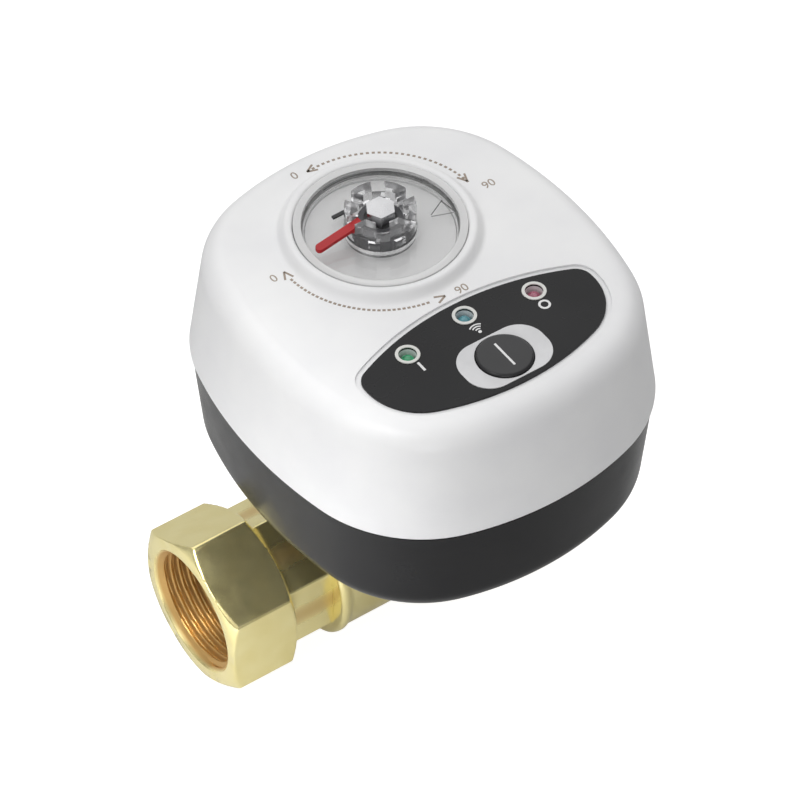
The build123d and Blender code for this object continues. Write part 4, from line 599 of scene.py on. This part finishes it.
def rod(radius, low, high, place, count=96):
    """A closed upright bar, used as a cutter; place is in mm about the stem."""
    middle = STEM + Vector((place[0], place[1], 0)) * MM
    verts, faces = [], []
    lathe_faces([(radius, low), (radius, high)], verts, faces, middle, count, False)
    faces += [tuple(range(count - 1, -1, -1)), tuple(range(count, 2 * count))]
    return outward(mesh_object("cutter", verts, faces, None, False))


def prism(outline, low, high):
    """A closed upright bar from an outline in mm about the stem."""
    count = len(outline)
    verts = [(STEM.x + x * MM, y * MM, z * MM) for z in (low, high) for x, y in outline]
    faces = [(k, (k + 1) % count, count + (k + 1) % count, count + k) for k in range(count)]
    faces += [tuple(range(count - 1, -1, -1)), tuple(range(count, 2 * count))]
    return outward(mesh_object("cutter", verts, faces, None, False))


PANEL_TOP_Y, PANEL_TOP_R, PANEL_LOW_Y, PANEL_LOW_R = -23.9, 57.7, -47.4, 52.7
PANEL_HALF_WIDTH, PANEL_TOP_CORNER, PANEL_LOW_CORNER, PANEL_MARGIN = 25.8, 3.6, 12.0, 1.1


def arc(x, y, radius, start, end, steps, first=0):
    """Points along an arc, angles in radians."""
    sweep = [start + (end - start) * k / steps for k in range(first, steps + 1)]
    return [(x + radius * math.cos(a), y + radius * math.sin(a)) for a in sweep]


def half_moon(grow):
    """The panel's outline, grown: an arc by the dial, one at the front, straight ends, round corners."""
    top_r, low_r = PANEL_TOP_R + grow, PANEL_LOW_R + grow
    half, small, large = PANEL_HALF_WIDTH + grow, PANEL_TOP_CORNER + grow, PANEL_LOW_CORNER + grow
    top_c, low_c = PANEL_TOP_Y - PANEL_TOP_R, PANEL_LOW_Y + PANEL_LOW_R
    sx, lx = half - small, half - large
    sy = top_c + math.sqrt((top_r - small) ** 2 - sx ** 2)
    ly = low_c - math.sqrt((low_r - large) ** 2 - lx ** 2)
    top_end, low_end = math.atan2(sy - top_c, sx), math.atan2(ly - low_c, lx)
    right = arc(0, top_c, top_r, math.pi / 2, top_end, 20) + arc(sx, sy, small, top_end, 0, 8, 1)
    right += arc(lx, ly, large, 0, low_end, 18) + arc(0, low_c, low_r, low_end, -math.pi / 2, 20, 1)
    return right + [(-x, y) for x, y in right[-2:0:-1]]


COVER_DRAFT, TOP_ROUND = 0.15, 5.0
slope = math.atan(COVER_DRAFT)
outer = [(0.15, PARTING_Z), (0.03, PARTING_Z + 0.25)]
outer += [((z - PARTING_Z) * COVER_DRAFT, z) for z in (58, 62, 67, 72, 75)]
middle_inset = (TOP_Z - TOP_ROUND - PARTING_Z) * COVER_DRAFT + TOP_ROUND / math.cos(slope)
for k in range(17):
    a = slope + (math.pi / 2 - slope) * k / 16
    outer.append((middle_inset - TOP_ROUND * math.cos(a), TOP_Z - TOP_ROUND + TOP_ROUND * math.sin(a)))
outer += [(middle_inset + 0.5, TOP_Z), (middle_inset + 1.2, TOP_Z)]
inner = [(WALL + (z - PARTING_Z) * COVER_DRAFT, z) for z in (PARTING_Z, 64, 71, 76)]
inner += [(WALL + 3.4, 78.0), (WALL + 4.6, 78.5)]
cover = skin("cover", outer[::-1] + inner)
DIAL_R, LEDGE_R, PLATE_LEDGE_R, CROWN_R, BEZEL_FOOT_R = 16.8, 14.6, 12.5, 17.8, 20.2
DIAL_SEAT_Z, PLATE_LEDGE_Z, LEDGE_Z, BEZEL_TOP, CUT_TOP = 77.0, 78.6, 79.8, 82.9, 84.0
RECESS_Z, LAMP_HOLE_R, BUTTON_HOLE_R, AXIS_R = 80.5, 1.75, 5.65, 0.0001
LAMPS = [(-14.4, -29.7), (0, -27.5), (14.4, -29.7)]
BUTTON = (0, -40.3)
seat = lathe("cutter", [(AXIS_R, DIAL_SEAT_Z), (PLATE_LEDGE_R, DIAL_SEAT_Z), (PLATE_LEDGE_R, PLATE_LEDGE_Z),
                        (LEDGE_R, PLATE_LEDGE_Z), (LEDGE_R, LEDGE_Z), (DIAL_R, LEDGE_Z), (DIAL_R, CUT_TOP),
                        (AXIS_R, CUT_TOP)], 128)
cutters = [seat, prism(half_moon(PANEL_MARGIN), RECESS_Z, CUT_TOP - 1)]
cutters += [rod(LAMP_HOLE_R, DIAL_SEAT_Z - 1, TOP_Z + 1, place, 48) for place in LAMPS]
cover = cut(cover, cutters + [rod(BUTTON_HOLE_R, DIAL_SEAT_Z - 1, TOP_Z + 1, BUTTON)])
crown = [(DIAL_R, LEDGE_Z), (DIAL_R, 82.35), (16.86, 82.6), (17.02, 82.8), (17.25, BEZEL_TOP),
         (CROWN_R, BEZEL_TOP)]
middle_r = (CROWN_R + BEZEL_FOOT_R) / 2
for k in range(1, 17):
    t = k / 16
    weights = ((1 - t) ** 3, 3 * t * (1 - t) ** 2, 3 * t * t * (1 - t), t ** 3)
    crown.append((sum(w * r for w, r in zip(weights, (CROWN_R, middle_r, middle_r, BEZEL_FOOT_R))),
                  sum(w * z for w, z in zip(weights, (BEZEL_TOP, BEZEL_TOP, TOP_Z, TOP_Z)))))
crown += [(BEZEL_FOOT_R, TOP_Z - 0.6)]
ring = lathe("ring", crown, 192, 50)
cover = join("upper_cover_visual", [cover, ring], 32)
cover_white = plastic("cover_white", (0.87, 0.87, 0.88), (0.92, 0.92, 0.92), 0.30, 0.38, 0.22, 0.0035)
cover.data.materials.clear()
cover.data.materials.append(cover_white)
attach(cover, "valve")
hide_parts("upper_cover")

# Lower shell: injection-moulded charcoal plastic with a smooth gloss, drafted in towards its rounded base.
# The valve's neck comes through its floor and is clamped inside, and the power socket sits in its back wall.


def set_socket(material, name, value):
    """Set one constant on a material's shader."""
    material.node_tree.nodes["Principled BSDF"].inputs[name].default_value = value


BASE_ROUND, SHELL_DRAFT, STEP = 6.0, 0.08, 0.35
SHELL_TOP = 56.7
shell_slope = math.atan(SHELL_DRAFT)


def shell_inset(z):
    """How far the shell's wall stands inside the plan at a height."""
    return STEP + (PARTING_Z - z) * SHELL_DRAFT


outer = [(shell_inset(SHELL_TOP) + 0.2, SHELL_TOP), (shell_inset(SHELL_TOP), SHELL_TOP - 0.2)]
outer += [(shell_inset(z), z) for z in (55, 51, 47, 43, 40)]
middle_inset = shell_inset(BASE_Z + BASE_ROUND) + BASE_ROUND / math.cos(shell_slope)
for k in range(17):
    a = shell_slope + (math.pi / 2 - shell_slope) * k / 16
    outer.append((middle_inset - BASE_ROUND * math.cos(a), BASE_Z + BASE_ROUND - BASE_ROUND * math.sin(a)))
outer += [(middle_inset + 0.5, BASE_Z), (middle_inset + 1.2, BASE_Z)]
inner = [(WALL + shell_inset(z), z) for z in (SHELL_TOP, 50, 42, 38)]
inner += [(WALL + shell_inset(36) + 2.0, 36.1), (WALL + shell_inset(36) + 3.2, BASE_Z + WALL)]
shell = skin("shell", outer[::-1] + inner)
BOSS_X, BOSS_Y, HEAD_R = 23.0, 29.7, 3.0
NECK_HOLE_R, NECK_FLAT = 9.55, 8.3
SOCKET_Z, SOCKET_R, POCKET_R, POCKET_DEPTH = 47.0, 4.45, 6.4, 0.9
BOSSES = [(sx * BOSS_X, HOUSING.y + sy * BOSS_Y) for sx in (-1, 1) for sy in (-1, 1)]
turns = [2 * math.pi * k / 96 for k in range(96)]
neck = [(math.cos(a) * NECK_HOLE_R, max(-NECK_FLAT, min(NECK_FLAT, math.sin(a) * NECK_HOLE_R)))
        for a in turns]


def rear_rod(radius, start, end, count=72):
    """A closed bar through the back wall, used as a cutter for the socket."""
    verts = [((STEM_X + radius * math.cos(2 * math.pi * k / count)) * MM, y * MM,
              (SOCKET_Z + radius * math.sin(2 * math.pi * k / count)) * MM)
             for y in (start, end) for k in range(count)]
    faces = [(k, (k + 1) % count, count + (k + 1) % count, count + k) for k in range(count)]
    faces += [tuple(range(count - 1, -1, -1)), tuple(range(count, 2 * count))]
    return outward(mesh_object("cutter", verts, faces, None, False))


REAR_Y = HOUSING.y + HALF_DEPTH - shell_inset(SOCKET_Z)
cutters = [prism(neck, 31, 37), rear_rod(POCKET_R, REAR_Y - POCKET_DEPTH, REAR_Y + 3),
           rear_rod(SOCKET_R, REAR_Y - 5, REAR_Y + 3)]
shell = cut(shell, cutters + [rod(HEAD_R, 31, 35.6, place, 48) for place in BOSSES])
shell_charcoal = plastic("shell_charcoal", (0.008, 0.008, 0.009), (0.012, 0.012, 0.013), 0.20, 0.27,
                         0.3, 0.0015)
set_socket(shell_charcoal, "Specular IOR Level", 0.17)
shell.name = "lower_shell_visual"
shell.data.materials.append(shell_charcoal)
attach(shell, "valve")
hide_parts("lower_shell")

# Panel, lamps and button: a printed film glued in a shallow recess, with three lamps in moulded rings.
# A silver oval frames a black push button with a white bar. Plain marks are printed beside the lamps.
panel_black = plastic("panel_film", (0.008, 0.008, 0.009), (0.013, 0.013, 0.014), 0.22, 0.3, 0.35, 0.001)
set_socket(panel_black, "Specular IOR Level", 0.25)
dress(panel_black, "panel_overlay")

oval_silver = metal("oval_silver", (0.62, 0.62, 0.63), (0.72, 0.72, 0.73), 0.38, 0.48, 0.3, 0.002)
set_socket(oval_silver, "Metallic", 0.15)
dress(oval_silver, "button_bezel")

ring_ivory = plastic("ring_ivory", (0.68, 0.68, 0.65), (0.78, 0.78, 0.75), 0.25, 0.35, 0.3, 0.002)
dress(ring_ivory, "led_bezels")


def lens_finish(name, dark, light):
    """A tinted lens that glows a little."""
    finish = Finish(name, light, 0.12)
    finish.drift(1.2, dark, light, 0.08, 0.16)
    finish.shader.inputs["Emission Color"].default_value = (*light, 1)
    finish.shader.inputs["Emission Strength"].default_value = 0.05
    finish.shader.inputs["Coat Weight"].default_value = 0.6
    finish.bump(finish.noise(0.5, 2.0), 0.01)
    return finish.material


dress(lens_finish("lens_green", (0.01, 0.14, 0.06), (0.06, 0.48, 0.22)), "status_led_green")
dress(lens_finish("lens_blue", (0.02, 0.16, 0.20), (0.16, 0.46, 0.52)), "status_led_blue")
dress(lens_finish("lens_red", (0.24, 0.04, 0.08), (0.56, 0.18, 0.26)), "status_led_red")

button_black = plastic("button_black", (0.014, 0.014, 0.015), (0.022, 0.022, 0.024), 0.28, 0.36, 0.25, 0.0015)
dress(button_black, "power_button")

print_white = plastic("print_white", (0.78, 0.78, 0.78), (0.88, 0.88, 0.88), 0.4, 0.5, 0.2, 0.001)
print_brown = plastic("print_brown", (0.30, 0.24, 0.19), (0.40, 0.33, 0.27), 0.45, 0.55, 0.2, 0.001)


def flat_print(name, outlines, z, material, body, thickness=0.03):
    """Printed marks: closed outlines in mm about the stem, lifted a little off the surface."""
    verts, faces = [], []
    for outline in outlines:
        base, count = len(verts), len(outline)
        verts += [(STEM.x + x * MM, y * MM, h * MM) for h in (z, z + thickness) for x, y in outline]
        for k in range(count):
            m = (k + 1) % count
            faces.append((base + k, base + m, base + count + m, base + count + k))
        faces += [tuple(range(base + count - 1, base - 1, -1)), tuple(range(base + count, base + 2 * count))]
    piece = outward(mesh_object(name, verts, faces, body, False))
    piece.data.materials.append(material)
    return piece


def bar(x, y, length, width, angle):
    """A rectangle about a middle point, turned by an angle in degrees."""
    c, s = math.cos(math.radians(angle)), math.sin(math.radians(angle))
    corners = [(u * length / 2, v * width / 2) for u, v in ((-1, -1), (1, -1), (1, 1), (-1, 1))]
    return [(x + c * u - s * v, y + s * u + c * v) for u, v in corners]


def arc_band(x, y, inner_r, outer_r, start, end, steps=24):
    """A band along an arc, angles in degrees."""
    start, end = math.radians(start), math.radians(end)
    return arc(x, y, outer_r, start, end, steps) + arc(x, y, inner_r, end, start, steps)


BUTTON_TOP, PANEL_Z = 81.6, 80.9
button_mark = flat_print("button_mark", [bar(*BUTTON, 0.45, 6.4, 0)], BUTTON_TOP, print_white, "button")
MARK_X, MARK_Y, MIDDLE_MARK_Y = 14.0, -33.6, -32.5
marks = [bar(-MARK_X, MARK_Y, 0.5, 2.4, 0)]
marks += [arc_band(MARK_X, MARK_Y, 0.75, 1.2, start, start + 178) for start in (0, 180)]
marks += [arc_band(0, MIDDLE_MARK_Y, r, r + 0.28, 50, 130, 12) for r in (0.65, 1.25, 1.85)]
marks += [arc(0, MIDDLE_MARK_Y, 0.36, 0, 2 * math.pi, 12)[:-1]]
panel_marks = flat_print("panel_marks", marks, PANEL_Z, print_white, "valve")

# Dial markings: brown ink printed on the cover round the dial.
# Two arcs of dashes have an arrowhead at each end, and plain numbers stand at the four quarters.


def repeat_along_arc(name, radius_mm, start, sweep, count, unit, z_mm, material, body):
    """Copies of a small mesh set along an arc about the stem by Geometry Nodes, then made one plain mesh."""
    group = bpy.data.node_groups.new(name, "GeometryNodeTree")
    group.interface.new_socket("Geometry", in_out="OUTPUT", socket_type="NodeSocketGeometry")
    sizes = {"Count": count, "Radius": radius_mm * MM}
    sizes.update({"Start": math.radians(start), "Sweep": math.radians(sweep)})
    sockets = {}
    for label in sizes:
        kind = "NodeSocketInt" if label == "Count" else "NodeSocketFloat"
        sockets[label] = group.interface.new_socket(label, in_out="INPUT", socket_type=kind).identifier
    nodes, links = group.nodes, group.links
    source, sink = nodes.new("NodeGroupInput"), nodes.new("NodeGroupOutput")
    path = nodes.new("GeometryNodeCurveArc")
    path.mode = "RADIUS"
    for label, socket in (("Radius", "Radius"), ("Start", "Start Angle"), ("Sweep", "Sweep Angle")):
        links.new(source.outputs[label], path.inputs[socket])
    path.inputs["Resolution"].default_value = 128
    points = nodes.new("GeometryNodeCurveToPoints")
    points.mode = "COUNT"
    links.new(source.outputs["Count"], points.inputs["Count"])
    links.new(path.outputs["Curve"], points.inputs["Curve"])
    info = nodes.new("GeometryNodeObjectInfo")
    info.inputs["Object"].default_value = unit
    place = nodes.new("GeometryNodeInstanceOnPoints")
    links.new(points.outputs["Points"], place.inputs["Points"])
    links.new(points.outputs["Rotation"], place.inputs["Rotation"])
    links.new(info.outputs["Geometry"], place.inputs["Instance"])
    move = nodes.new("GeometryNodeTransform")
    move.inputs["Translation"].default_value = (STEM.x, STEM.y, z_mm * MM)
    real = nodes.new("GeometryNodeRealizeInstances")
    paint = nodes.new("GeometryNodeSetMaterial")
    paint.inputs["Material"].default_value = material
    links.new(place.outputs["Instances"], real.inputs["Geometry"])
    links.new(real.outputs["Geometry"], move.inputs["Geometry"])
    links.new(move.outputs["Geometry"], paint.inputs["Geometry"])
    links.new(paint.outputs["Geometry"], sink.inputs["Geometry"])
    carrier = mesh_object(name, [(0, 0, 0)], [], None, False)
    modifier = carrier.modifiers.new("repeat", "NODES")
    modifier.node_group = group
    for label, value in sizes.items():
        modifier[sockets[label]] = value
    bpy.context.view_layer.update()
    graph = bpy.context.evaluated_depsgraph_get()
    mesh = bpy.data.meshes.new_from_object(carrier.evaluated_get(graph))
    carrier.modifiers.clear()
    carrier.data = mesh
    if not mesh.materials:
        mesh.materials.append(material)
    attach(carrier, body)
    return carrier


def small_box(x_mm, y_mm, z_mm):
    """One dash, about the origin."""
    ends = (-1, 1)
    half = Vector((x_mm, y_mm, z_mm)) / 2 * MM
    verts = [(sx * half.x, sy * half.y, sz * half.z) for sx in ends for sy in ends for sz in ends]
    faces = [(0, 1, 3, 2), (4, 6, 7, 5), (0, 4, 5, 1), (2, 3, 7, 6), (0, 2, 6, 4), (1, 5, 7, 3)]
    return mesh_object("unit", verts, faces, None, False)


ARC_R, DASH_COUNT, PRINT_LIFT, NUMBER_SIZE = 21.3, 31, 0.015, 2.7
dash = small_box(0.5, 2 * PRINT_LIFT, 0.6)
for piece_name, start, sweep in (("dial_dashes_rear", 96, -92), ("dial_dashes_front", 184, 76)):
    dashes = repeat_along_arc(piece_name, ARC_R, start, sweep, DASH_COUNT, dash, TOP_Z + PRINT_LIFT,
                              print_brown, "valve")
bpy.data.objects.remove(dash)


def arrowhead(angle, direction):
    """A slim open arrowhead on the dial's arc."""
    a = math.radians(angle)
    tip = Vector((ARC_R * math.cos(a), ARC_R * math.sin(a)))
    heading = angle + 90 * direction
    outlines = []
    for spread in (-24, 24):
        back = math.radians(heading + 180 + spread)
        mid = tip + Vector((math.cos(back), math.sin(back))) * 1.1
        outlines.append(bar(mid.x, mid.y, 2.2, 0.42, heading + spread))
    return outlines


arrows = arrowhead(97, 1) + arrowhead(4, -1) + arrowhead(177, -1) + arrowhead(270, 1)
dial_arrows = flat_print("dial_arrows", arrows, TOP_Z, print_brown, "valve")


def number(name, text, size_mm, x, y):
    """A plain number printed on the cover, centred on a place about the stem."""
    curve = bpy.data.curves.new(name, "FONT")
    curve.body, curve.size = text, size_mm * MM
    curve.align_x, curve.align_y = "CENTER", "CENTER"
    curve.extrude = PRINT_LIFT * MM
    words = bpy.data.objects.new(name, curve)
    scene.collection.objects.link(words)
    words.location = (STEM.x + x * MM, y * MM, (TOP_Z + PRINT_LIFT) * MM)
    bpy.context.view_layer.update()
    mesh = bpy.data.meshes.new_from_object(words.evaluated_get(bpy.context.evaluated_depsgraph_get()))
    mesh.transform(words.matrix_world)
    bpy.data.objects.remove(words)
    piece = bpy.data.objects.new(name, mesh)
    scene.collection.objects.link(piece)
    mesh.materials.clear()
    mesh.materials.append(print_brown)
    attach(piece, "valve")


for label, text, x, y in (("rear", "0", -5.2, 21.6), ("right", "90", 24.2, -1.5), ("left", "0", -23.8, 0.7),
                          ("front", "90", 3.6, -21.6)):
    number(f"dial_number_{label}", text, NUMBER_SIZE, x, y)

# Dial window: clear moulded plastic with a frosted rim, pressed on a pale silicone ring over the light plate.
# A black bar on it is the pointer's painted shadow, and thin dark marks lie on it.
dial_floor = plastic("dial_floor", (0.86, 0.86, 0.86), (0.93, 0.93, 0.93), 0.3, 0.45, 0.4, 0.003)
dress(dial_floor, "dial_plate")
silicone = plastic("window_silicone", (0.70, 0.70, 0.70), (0.78, 0.78, 0.78), 0.4, 0.5, 0.5, 0.003)
dress(silicone, "window_gasket")
RIM_R, RIM_BLEND, RIM_CLARITY = 0.0150, 0.0002, 0.25
clear = Finish("clear_plastic", (0.88, 0.88, 0.88), 0.04, Transmission_Weight=1.0, IOR=1.49)
clear.link(clear.remap(clear.noise(3.0), 0.02, 0.07), clear.shader.inputs["Roughness"])
clear.bump(clear.noise(4.0, 2.0), 0.02)
corners = [Vector(corner) for corner in NODES["dial_window"].bound_box]
middle = sum(corners, Vector()) / 8
offset = clear.tree.nodes.new("ShaderNodeVectorMath")
offset.operation = "SUBTRACT"
offset.inputs[1].default_value = middle
clear.link(clear.coordinates.outputs["Object"], offset.inputs[0])
flat = clear.tree.nodes.new("ShaderNodeVectorMath")
flat.operation = "MULTIPLY"
flat.inputs[1].default_value = (1, 1, 0)
clear.link(offset.outputs["Vector"], flat.inputs[0])
reach = clear.tree.nodes.new("ShaderNodeVectorMath")
reach.operation = "LENGTH"
clear.link(flat.outputs["Vector"], reach.inputs[0])
clarity = clear.remap(reach.outputs["Value"], 1, RIM_CLARITY, RIM_R, RIM_R + RIM_BLEND)
clear.link(clarity, clear.shader.inputs["Transmission Weight"])
dress(clear.material, "dial_window")
NODES["dial_window"].visible_shadow = False
GLASS_TOP = 82.1
# The pointer's painted shadow: a black bar on the window beside the pointer.
pointer_shadow = flat_print("window_stop", [bar(-4.9, 6.8, 3.0, 0.7, 2)], GLASS_TOP, black_plastic, "valve", 0.45)
arrow_print = plastic("arrow_print", (0.10, 0.10, 0.10), (0.16, 0.16, 0.16), 0.35, 0.45, 0.3, 0.001)
long_arc = arc_band(0, 0, 14.45, 14.75, 22, 104, 60)
arrow_tip = [(14.3, 3.9), (14.4, 5.9), (12.9, 5.3)]
tab_lines = [bar(11.6, -2.0, 4.6, 0.22, 28), bar(13.6, -3.0, 4.0, 0.3, 98), bar(11.4, -4.2, 4.4, 0.16, -20)]
window_marks = flat_print("window_marks", [long_arc, arrow_tip] + tab_lines, GLASS_TOP, arrow_print, "valve")

# Hand knob and pointer: a clear moulded knob on the spindle's hexagon. A dark finned piece inside it and a
# dark ring round the hexagon's end are painted shade in the clear plastic. The pointer is moulded in red
# plastic and snaps into the knob.
smoke = Finish("clear_knob", (0.93, 0.93, 0.94), 0.06, Transmission_Weight=0.92, IOR=1.49)
smoke.link(smoke.remap(smoke.noise(2.0), 0.04, 0.12), smoke.shader.inputs["Roughness"])
smoke.bump(smoke.noise(2.5, 2.0), 0.03)
dress(smoke.material, "manual_knob")
NODES["manual_knob"].visible_shadow = False
pointer_red = plastic("pointer_red", (0.38, 0.004, 0.008), (0.50, 0.008, 0.012), 0.35, 0.45, 0.5, 0.002)
dress(pointer_red, "pointer")
# Dark plastic for the painted shade inside the clear knob.
knob_shade = plastic("knob_insert", (0.05, 0.05, 0.055), (0.09, 0.09, 0.095), 0.3, 0.4, 0.5, 0.003)
FIN_COUNT, FIN_STEPS = 8, 192


def finned(profile, steps):
    """A closed ring about the stem from (tip radius, root radius, height), round where the two are equal."""
    verts, faces = [], []
    for tip_r, root_r, z in profile:
        for k in range(steps):
            a = 2 * math.pi * k / steps
            share = min(max(0.5 + 2.2 * math.cos(FIN_COUNT * a), 0), 1)
            r = root_r + (tip_r - root_r) * share
            verts.append((STEM.x + r * MM * math.cos(a), r * MM * math.sin(a), z * MM))
    for i in range(len(profile)):
        j = (i + 1) % len(profile)
        for k in range(steps):
            m = (k + 1) % steps
            faces.append((i * steps + k, i * steps + m, j * steps + m, j * steps + k))
    return verts, faces


# Painted shade in the knob: a finned piece inside it and a ring round the hexagon's end.
fins = [(3.3, 3.3, 79.9), (5.4, 4.5, 79.9), (5.9, 4.6, 80.4), (5.9, 4.6, 83.0), (5.4, 4.5, 83.5),
        (3.3, 3.3, 83.5)]
shade_ring = [(3.2, 3.2, 84.02), (4.3, 4.3, 84.02), (4.3, 4.3, 84.35), (3.2, 3.2, 84.35)]
for piece_name, profile, steps in (("knob_insert", fins, FIN_STEPS), ("knob_seal", shade_ring, FIN_STEPS // 2)):
    piece = outward(mesh_object(piece_name, *finned(profile, steps), "spindle", True, 35))
    piece.data.materials.append(knob_shade)
